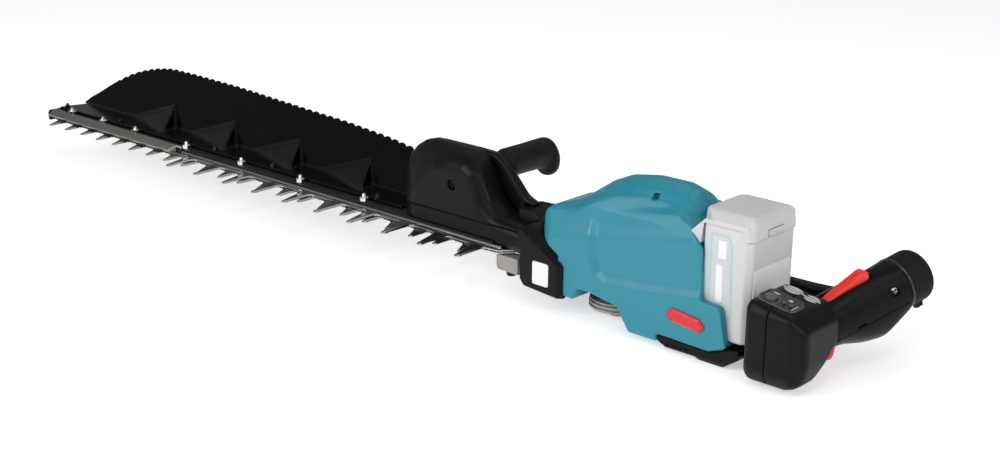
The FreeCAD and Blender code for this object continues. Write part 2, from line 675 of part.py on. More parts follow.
def trigger():
    outline = [(-5, -14), (-6, -32), (-1, -35.5), (4, -33), (10, -22), (13, -18), (33, -17),
               (33, -7), (-5, -7)]
    body = cross_slab(outline, -6.3, 6.3)
    return on_grip(body.cut(pin_rod(TRIGGER_PIVOT, PIN_R + 0.06, 20)))


def lock_lever():
    outline = [(5, 13), (4, 26.5), (18, 28), (50, 29.5), (57, 27.5), (53, 20), (45, 16), (40, 13)]
    body = cross_slab(outline, -6.3, 6.3)
    return on_grip(body.cut(pin_rod(LEVER_PIVOT, PIN_R + 0.06, 20)))


def micro_switch():
    return on_grip(block(-5, 5, 6, 26, -2.5, 6.5))


def far_arm():
    """Curved beam on the far side that closes the handle loop, from the body to the grip's end."""
    stations = [(984, 45.8, 57, 0, 18), (1010, 45.8, 57, 0, 17), (1036, 46, 57.5, -1, 15.6),
                (1058, 52, 66, -1, 12.4), (1076, 64, 79, -1, 8.5), (1092, 74, 93, 0, 7),
                (1104, 82, 104, 2, 9), (1115, 86, 110, 4, 12)]
    sections = [[V(x, y0, z0), V(x, y1, z0), V(x, y1, z1), V(x, y0, z1)] for x, y0, y1, z0, z1 in stations]
    cap_room = rod(V(0, 80, -0.5), AXIS_Y, 25.6, 50)
    return ruled(sections).cut([on_grip(cap_room), on_grip(grip_solid(0))])


# ---- battery ----
def battery_shells():
    x0, x1, y0, y1, z0, z1 = BATTERY
    case = rounded(block(*BATTERY), 5, along(AXIS_Z))
    case = case.cut(rounded(block(x0 + 2, x1 - 2, y0 + 2, y1 - 2, z0 + 2, z1 + 1), 3, along(AXIS_Z)))
    case = case.cut([block(x0 - 1, x0 + 2.5, y - 1.4, y + 1.4, -10, 28) for y in (-15, -5, 5, 15)])
    outline = [(x0 - 5, z1), (x0 - 12, z1 + 5), (x0 - 10, CAP_TOP), (x1 - 3, CAP_TOP - 1), (x1 + 1, z1 + 8),
               (x1 + 1, z1)]
    cap = rounded(side_slab(outline, y0 - 1, y1 + 1), 2.5, along(AXIS_Y))
    return case, cap.cut(latch_room(0))


def latch_room(clear):
    x1, z1 = BATTERY[1], BATTERY[5]
    return block(x1 - 6, x1 + 9, -12 - clear, 12 + clear, z1 + 2 - clear, z1 + 8 + clear)


def latch_button():
    return latch_room(-0.4).common(block(1040, BATTERY[1] + 2.2, -50, 50, 0, 100)).cut(
        block(0, BATTERY[1] - 2.6, -50, 50, 0, 100))


def battery_cells():
    x0, z0 = BATTERY[0], BATTERY[4]
    return group([rod(V(x0 + 17.6 + 18.8 * i, -32.5, z0 + 12.2 + 18.6 * k), AXIS_Y, 9.2, 65)
                  for i in range(2) for k in range(4)])


def battery_strip():
    return block(1008, 1032, BATTERY[2] - 0.5, BATTERY[2], 9, 70)


def battery_label():
    return block(BATTERY[1], BATTERY[1] + 0.5, -31, 29, -2, 45.5)


# ---- the assembly ----
def all_pieces():
    near, far = body_shells()
    grip_tube, grip_sleeve, grip_lip = front_grip()
    box_front, box_rear = control_box()
    case, cap = battery_shells()
    grip_upper, grip_lower = grip_shells()
    pieces = {"body_shell_near": near, "body_shell_far": far, "front_grip_core": grip_tube,
              "front_grip_cover": grip_sleeve, "front_grip_lip": grip_lip,
              "box_front_shell": box_front, "box_rear_shell": box_rear,
              "battery_case": case, "battery_cap": cap,
              "grip_upper_shell": grip_upper, "grip_lower_shell": grip_lower}
    makers = [lower_blade, upper_blade, guide_bar, cover_strip, bar_nose, bar_bolts, bar_nuts, plate_screws,
              chip_plate, crank_gear, crank_shaft, bearings, gear_case, gear_case_nose, drip_stub,
              gear_cover, felt_seal, motor_stator, motor_shaft, motor_pinion, motor_rotor, motor_fan,
              motor_frame, case_screws, side_badge, controller, terminal_block, front_housing,
              blank_labels, hand_guard, guard_skirt, guard_bracket, foot, bridge, switch_panel,
              panel_lenses, power_button, button_switch, grip_pins, grip_ring,
              grip_end_cap, trigger, lock_lever, micro_switch, far_arm, latch_button,
              battery_cells, battery_strip, battery_label]
    for maker in makers:
        pieces[maker.__name__] = maker()
    return pieces


os.makedirs("parts", exist_ok=True)
to_part_frame = V(-FOOT_X, 0, -REST_Z)
for name, shape in all_pieces().items():
    shape = shape.translated(to_part_frame)
    if not shape.isValid() or shape.Volume <= 0:
        print("not a sound solid:", name)
    shape.exportStep(f"parts/{name}.step")
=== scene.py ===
import itertools
import math

import bmesh
import bpy
import numpy as np
import openvdb
from mathutils import Matrix, Vector


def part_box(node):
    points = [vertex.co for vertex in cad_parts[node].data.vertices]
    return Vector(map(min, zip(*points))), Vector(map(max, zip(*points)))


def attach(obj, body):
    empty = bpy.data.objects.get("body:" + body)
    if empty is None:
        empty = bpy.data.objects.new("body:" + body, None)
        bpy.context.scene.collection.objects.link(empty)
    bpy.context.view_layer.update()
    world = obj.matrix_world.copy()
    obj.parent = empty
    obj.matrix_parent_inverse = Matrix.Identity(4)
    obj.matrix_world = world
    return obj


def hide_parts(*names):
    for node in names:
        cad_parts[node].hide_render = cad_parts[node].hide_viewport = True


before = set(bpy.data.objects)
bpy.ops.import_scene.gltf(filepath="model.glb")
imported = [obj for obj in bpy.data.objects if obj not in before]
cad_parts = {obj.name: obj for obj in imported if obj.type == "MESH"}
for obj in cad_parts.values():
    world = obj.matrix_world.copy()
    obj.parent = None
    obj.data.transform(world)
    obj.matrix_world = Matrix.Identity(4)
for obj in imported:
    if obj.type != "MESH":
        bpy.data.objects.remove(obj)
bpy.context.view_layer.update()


# ---- materials
def tree(name):
    """A new material with its node tree and its main shader."""
    mat = bpy.data.materials.new(name)
    mat.use_nodes = True
    nt = mat.node_tree
    nt.nodes.clear()
    out = nt.nodes.new("ShaderNodeOutputMaterial")
    bsdf = nt.nodes.new("ShaderNodeBsdfPrincipled")
    nt.links.new(bsdf.outputs["BSDF"], out.inputs["Surface"])
    return mat, nt, bsdf


def srgb(r, g, b):
    """A display colour, 0 to 255, in the renderer's linear units."""
    def lin(c):
        c /= 255
        return c / 12.92 if c <= 0.04045 else ((c + 0.055) / 1.055) ** 2.4
    return (lin(r), lin(g), lin(b), 1.0)


def noise(nt, coord, scale, detail, stretch=None):
    tex = nt.nodes.new("ShaderNodeTexNoise")
    tex.inputs["Scale"].default_value = scale
    tex.inputs["Detail"].default_value = detail
    tex.inputs["Roughness"].default_value = 0.55
    if stretch:
        mapping = nt.nodes.new("ShaderNodeMapping")
        mapping.inputs["Scale"].default_value = stretch
        nt.links.new(coord, mapping.inputs["Vector"])
        coord = mapping.outputs["Vector"]
    nt.links.new(coord, tex.inputs["Vector"])
    return tex.outputs["Fac"]


def ramp(nt, value, stops):
    """A colour that runs between two stops, each a place and a colour."""
    node = nt.nodes.new("ShaderNodeValToRGB")
    for element, (place, colour) in zip(node.color_ramp.elements, stops):
        element.position = place
        element.color = colour
    nt.links.new(value, node.inputs["Fac"])
    return node.outputs["Color"]


def span(nt, value, lo, hi, a=0.0, b=1.0):
    """Maps lo to hi onto a to b."""
    node = nt.nodes.new("ShaderNodeMapRange")
    node.inputs["From Min"].default_value = lo
    node.inputs["From Max"].default_value = hi
    node.inputs["To Min"].default_value = a
    node.inputs["To Max"].default_value = b
    nt.links.new(value, node.inputs["Value"])
    return node.outputs["Result"]


def mix(nt, factor, a, b):
    """Blends from a to b. Each may be a fixed colour or another node's output."""
    node = nt.nodes.new("ShaderNodeMix")
    node.data_type = "RGBA"
    factor_in, a_in, b_in = node.inputs[0], node.inputs[6], node.inputs[7]
    for socket, value in ((factor_in, factor), (a_in, a), (b_in, b)):
        if isinstance(value, tuple):
            socket.default_value = value
        else:
            nt.links.new(value, socket)
    return node.outputs[2]


PATCH_SCALE, SPECK_SHARE, RUB_SCALE, GLOSS_SCALE = 26.0, 0.35, 90.0, 55.0
GRAIN_HEIGHT, COAT_ROUGH = 0.0004, 0.15


def finish(name, colour, rough, metallic, grain, bump, tone, wear,
           stretch=None, coat=0.0, specular=0.5, spread=0.08):
    """One finish: mottled colour, grain in roughness and height, and worn or dusty edges."""
    mat, nt, bsdf = tree(name)
    colour, wear = srgb(*colour), srgb(*wear)
    coord = nt.nodes.new("ShaderNodeTexCoord").outputs["Object"]
    dark = tuple(c * (1 - tone) for c in colour[:3]) + (1.0,)
    light = tuple(min(1.0, c * (1 + tone)) for c in colour[:3]) + (1.0,)
    patches = noise(nt, coord, PATCH_SCALE, 5.0, stretch)
    base = ramp(nt, patches, [(0.25, dark), (0.75, light)])
    speck = noise(nt, coord, grain * SPECK_SHARE, 2.0, stretch)
    base = mix(nt, span(nt, speck, 0.45, 0.8, 0.0, 0.3), base, light)
    point = nt.nodes.new("ShaderNodeNewGeometry").outputs["Pointiness"]
    edge = span(nt, point, 0.56, 0.70)
    rub = nt.nodes.new("ShaderNodeMath")
    rub.operation = "MULTIPLY"
    nt.links.new(edge, rub.inputs[0])
    nt.links.new(span(nt, noise(nt, coord, RUB_SCALE, 4.0), 0.4, 0.65), rub.inputs[1])
    base = mix(nt, rub.outputs[0], base, wear)
    nt.links.new(base, bsdf.inputs["Base Color"])
    gloss = noise(nt, coord, GLOSS_SCALE, 4.0, stretch)
    nt.links.new(span(nt, gloss, 0.25, 0.75, rough - spread, rough + spread), bsdf.inputs["Roughness"])
    fine = noise(nt, coord, grain, 2.0, stretch)
    relief = nt.nodes.new("ShaderNodeBump")
    relief.inputs["Strength"].default_value = bump
    relief.inputs["Distance"].default_value = GRAIN_HEIGHT
    nt.links.new(fine, relief.inputs["Height"])
    nt.links.new(relief.outputs["Normal"], bsdf.inputs["Normal"])
    bsdf.inputs["Metallic"].default_value = metallic
    bsdf.inputs["Coat Weight"].default_value = coat
    bsdf.inputs["Coat Roughness"].default_value = COAT_ROUGH
    bsdf.inputs["Specular IOR Level"].default_value = specular
    return mat


# Each row: colour, roughness, metallic, grain's scale and strength, mottling, and the colour of worn edges.
ROWS = {
    "blade_steel": ((168, 166, 164), 0.2, 1.0, 900, 0.06, 0.08, (240, 240, 240)),
    "bar_steel": ((34, 34, 36), 0.34, 0.6, 700, 0.08, 0.1, (120, 120, 120)),
    "strip_steel": ((140, 140, 136), 0.36, 1.0, 700, 0.08, 0.08, (215, 215, 215)),
    "zinc_steel": ((225, 225, 220), 0.2, 1.0, 1200, 0.05, 0.06, (250, 250, 250)),
    "dark_screw": ((60, 60, 62), 0.3, 1.0, 1200, 0.08, 0.1, (160, 160, 160)),
    "black_plastic": ((12, 12, 13), 0.36, 0.0, 2400, 0.14, 0.05, (40, 40, 41)),
    "grip_rubber": ((16, 16, 17), 0.52, 0.0, 1900, 0.28, 0.06, (38, 38, 40)),
    "teal_plastic": ((22, 126, 144), 0.38, 0.0, 2400, 0.08, 0.03, (60, 150, 168)),
    "red_plastic": ((226, 44, 28), 0.36, 0.0, 2200, 0.08, 0.08, (240, 100, 80)),
    "badge_red": ((200, 30, 36), 0.3, 0.0, 2200, 0.05, 0.04, (225, 90, 90)),
    "cast_alloy": ((150, 146, 144), 0.48, 0.7, 900, 0.3, 0.12, (215, 215, 212)),
    "gear_steel": ((150, 148, 145), 0.34, 1.0, 900, 0.1, 0.12, (215, 215, 215)),
    "motor_core": ((120, 90, 70), 0.5, 0.8, 900, 0.2, 0.2, (190, 160, 130)),
    "felt": ((70, 68, 64), 0.9, 0.0, 1200, 0.6, 0.2, (110, 108, 100)),
    "battery_grey": ((196, 196, 196), 0.5, 0.0, 2200, 0.12, 0.05, (215, 215, 215)),
    "battery_accent": ((165, 196, 204), 0.4, 0.0, 2200, 0.05, 0.08, (200, 220, 225)),
    "label_white": ((225, 226, 226), 0.38, 0.0, 1500, 0.04, 0.04, (240, 240, 240)),
    "cell_wrap": ((60, 110, 80), 0.35, 0.0, 1500, 0.05, 0.1, (120, 160, 130)),
    "panel_grey": ((52, 52, 55), 0.3, 0.0, 2200, 0.05, 0.1, (110, 110, 112)),
    "button_grey": ((80, 80, 84), 0.4, 0.0, 2200, 0.08, 0.1, (130, 130, 132)),
    "lens_green": ((44, 66, 52), 0.15, 0.0, 2200, 0.02, 0.06, (150, 200, 160)),
}
BRUSHED = {"stretch": (0.35, 1.0, 1.0), "spread": 0.05}
EXTRAS = {"blade_steel": BRUSHED, "bar_steel": BRUSHED, "strip_steel": BRUSHED, "lens_green": {"coat": 0.5},
          "black_plastic": {"specular": 0.13}, "grip_rubber": {"specular": 0.15}}
SLOTS = {name: finish(name, *row, **EXTRAS.get(name, {})) for name, row in ROWS.items()}

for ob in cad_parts.values():
    slot = ob.data.materials[0].name.split(".")[0]
    ob.data.materials.clear()
    ob.data.materials.append(SLOTS[slot])

# ---- shapes from distance fields
# Everything below is drawn in millimetres in the drawing's own frame. X runs rearward and is zero 40 mm
# behind the guide bar's front end. Y is zero in the body's middle plane. Z is zero 0.9 mm above the lower
# blade's underside.
ZERO_BEHIND_BAR, ZERO_ABOVE_BLADE = 0.040, 0.0009
BAR_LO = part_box("guide_bar")[0]
BLADE_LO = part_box("lower_blade")[0]
ORIGIN = Vector((BAR_LO.x + ZERO_BEHIND_BAR, 0.0, BLADE_LO.z + ZERO_ABOVE_BLADE))
TO_FRAME = Matrix.Translation(ORIGIN) @ Matrix.Scale(0.001, 4)


def corners(points, radius=0.0, steps=5):
    """A closed outline with rounded corners. A point's third number is its own radius."""
    done = []
    for i, point in enumerate(points):
        p = np.array(point[:2], float)
        r = point[2] if len(point) > 2 else radius
        a = np.array(points[i - 1][:2], float) - p
        b = np.array(points[(i + 1) % len(points)][:2], float) - p
        la, lb = np.linalg.norm(a), np.linalg.norm(b)
        a, b = a / la, b / lb
        half = math.acos(max(-1.0, min(1.0, float(a @ b)))) / 2
        if r <= 0 or half > 1.55:
            done.append(p)
            continue
        t = min(r / math.tan(half), la * 0.48, lb * 0.48)
        reach = t / math.cos(half)
        middle = p + (a + b) / np.linalg.norm(a + b) * reach
        start, end = p + a * t - middle, p + b * t - middle
        turn = math.atan2(start[0] * end[1] - start[1] * end[0], float(start @ end))
        for k in range(steps + 1):
            w = turn * k / steps
            c, s = math.cos(w), math.sin(w)
            done.append(middle + np.array((start[0] * c - start[1] * s, start[0] * s + start[1] * c)))
    return done


def area_of(points, u, v):
    """Signed distance to a closed outline, negative inside."""
    near, inside = None, None
    for i, b in enumerate(points):
        a = points[i - 1]
        ex, ey = float(b[0] - a[0]), float(b[1] - a[1])
        length = ex * ex + ey * ey
        if length < 1e-9:
            continue
        wx, wy = u - float(a[0]), v - float(a[1])
        t = np.clip((wx * ex + wy * ey) / length, 0, 1)
        gap = (wx - ex * t) ** 2 + (wy - ey * t) ** 2
        c1, c2, c3 = v >= float(a[1]), v < float(b[1]), ex * wy > ey * wx
        flip = (c1 & c2 & c3) | (~c1 & ~c2 & ~c3)
        near = gap if near is None else np.minimum(near, gap)
        inside = flip if inside is None else inside ^ flip
    return np.where(inside, -1.0, 1.0).astype(np.float32) * np.sqrt(near)


def both(a, b, r=0.0):
    """Where two shapes overlap; the new edges are rounded by r."""
    if r <= 0:
        return np.maximum(a, b)
    return np.minimum(-r, np.maximum(a, b)) + np.sqrt(np.maximum(a + r, 0) ** 2 + np.maximum(b + r, 0) ** 2)


def join(a, b, r=0.0):
    """Two shapes in one; the inner corner between them is filled by a fillet of radius r."""
    return -both(-a, -b, r)


def cut(a, b, r=0.0):
    """The first shape without the second; the new edges are rounded by r."""
    return both(a, -b, r)


def bevel(a, b, r):
    """Where two shapes overlap, with a flat bevel along the new edges."""
    return np.maximum(np.maximum(a, b), (a + b + r) * math.sqrt(0.5))


def slab(w, lo, hi):
    """The space between two limits of one coordinate."""
    return np.abs(w - (lo + hi) / 2) - (hi - lo) / 2


def brick(X, Y, Z, x, y, z, r=0.0):
    """A box between limits, with rounded edges."""
    q = [np.abs(w - (s[0] + s[1]) / 2) - (s[1] - s[0]) / 2 + r for w, s in ((X, x), (Y, y), (Z, z))]
    outside = np.sqrt(sum(np.maximum(w, 0) ** 2 for w in q))
    return outside + np.minimum(np.maximum(np.maximum(q[0], q[1]), q[2]), 0) - r


def tube(u, v, cu, cv, radius):
    """A round bar, seen end on in the coordinates u and v."""
    return np.sqrt((u - cu) ** 2 + (v - cv) ** 2) - radius


def ease(w):
    """A soft step from 0 to 1."""
    w = np.clip(w, 0, 1)
    return w * w * (3 - 2 * w)


def ribs_along(w, start, pitch, half_width):
    """Grooves that repeat along one coordinate, each half a pitch behind start."""
    return np.abs(((w - start) / pitch) % 1.0 - 0.5) * pitch - half_width


def smoothed(values, width):
    """A row of values, each the mean of its neighbours."""
    return np.convolve(np.pad(values, width // 2, mode="edge"), np.ones(width) / width, mode="valid")


def along(table, column, at):
    """One column of a table of stations, rounded off over 13 mm and read at each place."""
    first, last = table[0, 0], table[-1, 0]
    fine = np.linspace(first, last, int(last - first) + 1)
    rough = np.interp(fine, table[:, 0], table[:, column])
    return np.interp(at, fine, smoothed(rough, 13)).astype(np.float32)


def carried(matrix, X, Y, Z):
    """The three coordinates of each place after a matrix."""
    return [row[0] * X + row[1] * Y + row[2] * Z + row[3] for row in np.array(matrix)[:3]]


def sample(field, at):
    """Reads a field between its grid points."""
    top = np.array(field.shape) - 2
    cell = np.clip(np.floor(at).astype(int), 0, top)
    f = (at - cell).astype(np.float32)
    total = 0
    for i, j, k in itertools.product((0, 1), repeat=3):
        weight = np.abs(1 - i - f[:, 0]) * np.abs(1 - j - f[:, 1]) * np.abs(1 - k - f[:, 2])
        total = total + weight * field[cell[:, 0] + i, cell[:, 1] + j, cell[:, 2] + k]
    return total


def mesh_object(name, points, faces, place=None, normals=None):
    """A new object in the frame, from points in the drawing's millimetres."""
    mesh = bpy.data.meshes.new(name)
    mesh.from_pydata(points, [], faces)
    if normals is not None:
        mesh.polygons.foreach_set("use_smooth", [True] * len(mesh.polygons))
        mesh.normals_split_custom_set_from_vertices(normals)
    matrix = TO_FRAME @ place if place else TO_FRAME
    mesh.transform(matrix)
    mesh.update()
    ob = bpy.data.objects.new(name, mesh)
    bpy.context.collection.objects.link(ob)
    return ob


def dress(ob, body, slot, replaced=(), material=None):
    """Gives a piece its finish (the slot's own unless another material is given), parents it to its body's
    empty and hides the plain pieces that it stands for.
    """
    ob.data.materials.clear()
    ob.data.materials.append(material or SLOTS[slot])
    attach(ob, body)
    if replaced:
        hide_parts(*replaced)
    return ob


ADAPTIVITY = 0.012
FAR_OFF = 99.0


def solid(name, box, step, form, body, slot, replaced=(), place=None, material=None):
    """Makes a piece from a field: form(X, Y, Z) is negative inside. box is x0, x1, y0, y1, z0, z1."""
    lo = np.array(box[0::2], float) - 2 * step
    hi = np.array(box[1::2], float) + 2 * step
    axes = [np.arange(a, b + step, step, dtype=np.float32) for a, b in zip(lo, hi)]
    X, Y, Z = axes[0][:, None, None], axes[1][None, :, None], axes[2][None, None, :]
    field = np.broadcast_to(form(X, Y, Z), [len(a) for a in axes]).astype(np.float32)
    band = 3 * step
    field = np.clip(field, -band, band)
    grid = openvdb.FloatGrid(band)
    grid.copyFromArray(np.ascontiguousarray(field))
    points, tris, quads = grid.convertToPolygons(0.0, ADAPTIVITY)
    slope = [sample(g, points) for g in np.gradient(field)]
    normals = np.stack(slope, axis=1)
    normals /= np.maximum(np.linalg.norm(normals, axis=1), 1e-6)[:, None]
    faces = quads.tolist() + tris.tolist()
    where = points * step + lo
    if place:
        turned = np.array(place.to_3x3())
        normals = normals @ turned.T
    ob = mesh_object(name, where.tolist(), faces, place, normals.tolist())
    return dress(ob, body, slot, replaced, material)


# ---- body
WALL = 3.0
BODY_HALF, DOME_HALF = 45.5, 36.0
PANEL_DEPTH, PANEL_SLOPE = 3.4, 8.0
BAY_X, BAY_HALF = 998.4, 38.2
DOME_LEAN_Z, DOME_LEAN, DOME_CROWN = 68, 0.58, 0.02
LOW = corners([
    (792, 36, 3), (822, 22.5, 3), (838.5, 12.4, 1), (838.5, -26.6, 1), (858, -28, 2), (864, -15.5, 4),
    (878, -15.5, 6), (912, -21, 5), (927, -43, 6), (960, -43, 2), (960, -35.5, 2), (1018, -37, 6),
    (1037, -30, 4), (1029, 8, 7), (1006.5, 9.5, 3), (1004, 57, 5), (988, 74, 4), (960, 86, 20), (930, 86, 20),
    (880, 78, 24), (846, 66, 24), (820, 58, 16)], 2)
DOME = corners([
    (830, 40), (985, 40), (984, 84, 8), (974, 96, 10), (955, 101.4, 20), (922, 101.2, 26), (892, 96, 20),
    (873, 87.3, 20), (855, 75, 20), (834, 60, 20)], 2)
PANEL = corners([
    (874, 60, 8), (877, 18, 8), (884, 4, 9), (895, -1.5, 8), (936, 1.5, 20), (1030, 14), (1030, 90),
    (890, 90)], 3)
VENT = corners([(933.2, 85.2), (940.6, 86.2), (940.4, 91.8), (933, 90.6)], 1)
BADGE = corners([(970, -12), (977, -5), (1008, -8.5), (1014, -15), (1008, -21.5), (977, -18)], 1.5)


def body_form(X, Y, Z):
    """The body's outside: a low part with leaning flanks and a sunk panel, and the motor's dome on top."""
    side = np.abs(Y)
    low = area_of(LOW, X, Z)
    inner = -area_of(PANEL, X, Z)
    wall = BODY_HALF - PANEL_DEPTH * np.clip(inner / PANEL_SLOPE, 0, 1) * (Z > -20)
    ridge = 27.4 + (X - 818) * 0.2
    lean = (side - wall) * 0.93 + (Z - ridge) * 0.37
    flank = both(side - wall, lean, 1.4)
    crest = (Z - 54.5 - (X - 825) * 0.165) * 0.92 + (side - 38.5) * 0.39
    flank = both(flank, crest, 1.6)
    nose = (800 - X) + 0.0106 * side * side
    low = both(low, flank, 2.0)
    low = both(low, nose * 0.85, 6.0)
    crown = area_of(DOME, X, Z + DOME_CROWN * np.minimum(side, 24) ** 2) * 0.85
    dome = both(crown, (side - DOME_HALF + np.maximum(Z - DOME_LEAN_Z, 0) * DOME_LEAN) * 0.87, 4.0)
    return join(low, dome, 3.0)


def body_half(turn):
    """One shell of the body: the near one for turn 1, the far one for -1."""
    def form(X, Y, Z):
        shell = body_form(X, Y, Z)
        bay = brick(X, Y, Z, (BAY_X, 1100), (-BAY_HALF, BAY_HALF), (-26, 160), 1.0)
        shell = cut(shell, bay, 0.8)
        rear_seam = np.abs((X - 968) * 0.94 + (Z - 90) * 0.34 - 0.0035 * Y * Y) - 0.45
        shell = cut(shell, np.maximum(np.maximum(rear_seam, 76 - Z), -(shell + 0.9)), 0.3)
        shell = cut(shell, both(area_of(VENT, X, Z), 16 - np.abs(Y), 0.3), 0.4)
        bed = both(area_of(BADGE, X, Z) - 0.7, 44.9 - np.abs(Y))
        shell = cut(shell, bed, 0.3)
        shell = cut(shell, both(shell + WALL, Z - 90))
        return both(shell, Y * turn + 0.22, 0.5)
    return form


for word, turn, reach in (("near", 1, (-47, 1)), ("far", -1, (-1, 47))):
    solid("body_" + word, (790, 1040) + reach + (-45, 104), 0.9, body_half(turn), "frame", "teal_plastic",
          ["body_shell_" + word])


def badge_form(X, Y, Z):
    plate = both(area_of(BADGE, X, Z), slab(Y, -46.4, -44.0), 0.5)
    rim = np.abs(area_of(BADGE, X, Z) + 1.5) - 0.4
    return cut(plate, both(rim, Y + 46.0), 0.2)


solid("badge", (968, 1016, -47, -43, -24, -3), 0.4, badge_form, "frame", "badge_red", ["side_badge"])


# ---- front housing, guard and front grip
HOUSING = corners([
    (790, -15, 8), (799, -27, 5), (848, -30.6, 2), (848, 9.0, 2.5), (822, 23.6, 4), (799.6, 35.8, 4),
    (790, 29, 4)], 2)
HOUSING_PLAN = corners([(790, 49, 3), (790, -51, 2.5), (843, -51, 2), (848.4, -45.5, 1), (848.4, 49, 3)], 2)
NECK = corners([
    (772, 10), (770, 24, 4), (767.5, 31, 4), (768, 42, 3), (790, 43, 6), (803, 34, 3), (803, 10)], 1)
LABEL = corners([(811.5, -21), (832, -21), (832, 2.8), (811.5, 2.8)], 2.2)


HOUSING_INSIDE, LABEL_BED, GEAR_CASE_GAP = (-24, 5), -50.6, (-41.5, 37)


def housing_form(X, Y, Z):
    low = both(area_of(HOUSING, X, Z), area_of(HOUSING_PLAN, X, Y), 2.6)
    low = bevel(low, (Z - 30.5 - (X - 799.6) * -0.58) * 0.8 + (-Y - 47.0) * 0.6, 0.5)
    low = join(low, both(area_of(NECK, X, Z), slab(Y, -25, 12), 4.0), 4.0)
    bead = both(tube(X, Z, 786, 42.6, 1.5), slab(Y, -20, 6), 0.8)
    low = join(low, bead, 0.8)
    low = cut(low, both(tube(X, Y, 779, -17, 2.0), 38 - Z), 0.4)
    low = cut(low, both(area_of(LABEL, X, Z) - 0.35, Y - LABEL_BED), 0.2)
    low = cut(low, brick(X, Y, Z, (793.5, 860), (-45.7, 45.7), HOUSING_INSIDE, 2.0))
    low = cut(low, brick(X, Y, Z, (750, 794.5), (-52, -8), (-19.5, 10), 1.0), 0.8)
    return cut(low, brick(X, Y, Z, (750, 850), GEAR_CASE_GAP, (-40, 12), 3.0))


solid("housing", (765, 850, -53, 51, -32, 46), 0.7, housing_form, "frame", "black_plastic", ["front_housing"])

FACE = corners([
    (629, -20), (626, 26), (634, 47), (667, 77, 16), (686, 83, 16), (712, 83, 10), (728, 76, 10),
    (735, 60, 14), (741, 44, 16), (753, 32, 16), (800, 26), (800, -20)], 12)
RIM = corners([
    (612, -20), (608, 30), (608.5, 54), (614, 69), (625, 80.5), (637, 88), (650, 91.6), (664, 92), (702, 92),
    (713, 90), (723, 83), (733, 64), (743, 46), (757, 34), (800, 27), (800, -20)], 14)
GUARD_FRONT, GUARD_BACK, GUARD_WALL = -46.0, -14.0, 3.2
SEAM, SEAM_GAP, GUARD_SCREW = 24.0, 0.2, (696, 55)


def cup(X, Y, Z, inset):
    """The guard's dished outside, which widens from its face to its rim."""
    t = ease((Y - GUARD_FRONT - 1.5) / (GUARD_BACK - GUARD_FRONT - 9) * 0.92 + 0.04)
    face, rim = area_of(FACE, X, Z), area_of(RIM, X, Z)
    wall = (face * (1 - t) + rim * t) * 0.9
    return both(wall + inset, GUARD_FRONT + inset - Y, max(13.0 - inset, 1.0))


def guard_form(X, Y, Z):
    shell = both(both(cup(X, Y, Z, 0.0), Y - GUARD_BACK, 1.4), X - 789.6, 2.0)
    shell = cut(shell, both(cup(X, Y, Z, GUARD_WALL), 11.5 - Z), 0.8)
    hole = both(tube(X, Z, *GUARD_SCREW, 5.2), Y + 42.6, 0.2)
    boss = both(tube(X, Z, *GUARD_SCREW, 8.0), slab(Y, -44.5, -15), 0.5)
    return cut(join(cut(shell, hole, 0.6), boss, 1.0), hole, 0.6)


def upper_guard(X, Y, Z):
    return both(guard_form(X, Y, Z), SEAM + SEAM_GAP - Z, 0.5)


def guard_band(X, Y, Z):
    band = both(guard_form(X, Y, Z), Z - SEAM + SEAM_GAP, 0.5)
    return both(band, 8.6 - Z, 0.8)


solid("guard", (608, 792, -47, -13, 23, 93), 0.8, upper_guard, "frame", "black_plastic", ["hand_guard"])
solid("skirt", (608, 792, -47, -13, 7, 25), 0.8, guard_band, "frame", "black_plastic", ["guard_skirt"])

WEB = corners([
    (688, 50), (690, 84, 4), (697, 89, 4), (728, 88, 8), (741, 79, 8), (768, 51, 14), (790, 42.6, 3),
    (768.5, 42.4), (768, 29, 3), (775, 24, 2), (776, 12, 2), (700, 11)], 2)


def web_form(X, Y, Z):
    """The bracket between guard and front grip, hollow on the side that faces the guard."""
    web = both(area_of(WEB, X, Z), slab(Y, GUARD_BACK - 0.5, -3.5), 3.5)
    hollow = both(area_of(WEB, X, Z) + 9.0, Y + 11.5, 1.0)
    return cut(web, hollow, 2.0)


solid("web", (686, 792, -16, -2, 10, 91), 0.7, web_form, "frame", "black_plastic", ["guard_bracket"])

GRIP_X, GRIP_Z, GRIP_R, RIB_DEPTH = 725.0, 74.0, 15.6, 0.4


def front_sleeve(X, Y, Z):
    radius = GRIP_R - 0.3 + 0.5 * ease((Y - 30) / 30)
    axis = tube(X, Z, GRIP_X, GRIP_Z, 0)
    sleeve = both(axis - radius, slab(Y, -4, 75.6), 10.0)
    tongue = tube(X, Z, GRIP_X + 1.5, GRIP_Z - 10.5, 15.0)
    tongue = both(both(tongue, slab(Y, 62, 75.8), 6.0), 47.6 - Z, 2.0)
    grooves = np.maximum(ribs_along(Y, 6, 4.6, 0.55), -(sleeve + RIB_DEPTH))
    grooves = np.maximum(grooves, both(X - GRIP_X + 4, slab(Y, 8, 52)))
    return join(cut(sleeve, grooves, 0.3), tongue, 7.0)


solid("front_grip", (706, 744, -6, 77, 46, 93), 0.7, front_sleeve, "frame", "grip_rubber",
      ["front_grip_cover", "front_grip_lip"])


# ---- foot, control box, battery
FOOT = corners([
    (960.6, -36, 1), (960.6, -41.5, 2), (970, -46.3, 2), (1004, -46.3, 2), (1007, -49, 1.5), (1033, -49, 3),
    (1050, -37.5, 4), (1052.5, -28, 3), (1037.5, -30.6), (1018, -37.4, 5)], 1)
FOOT_HALF, SLOT_PITCH = 45.2, 7.0


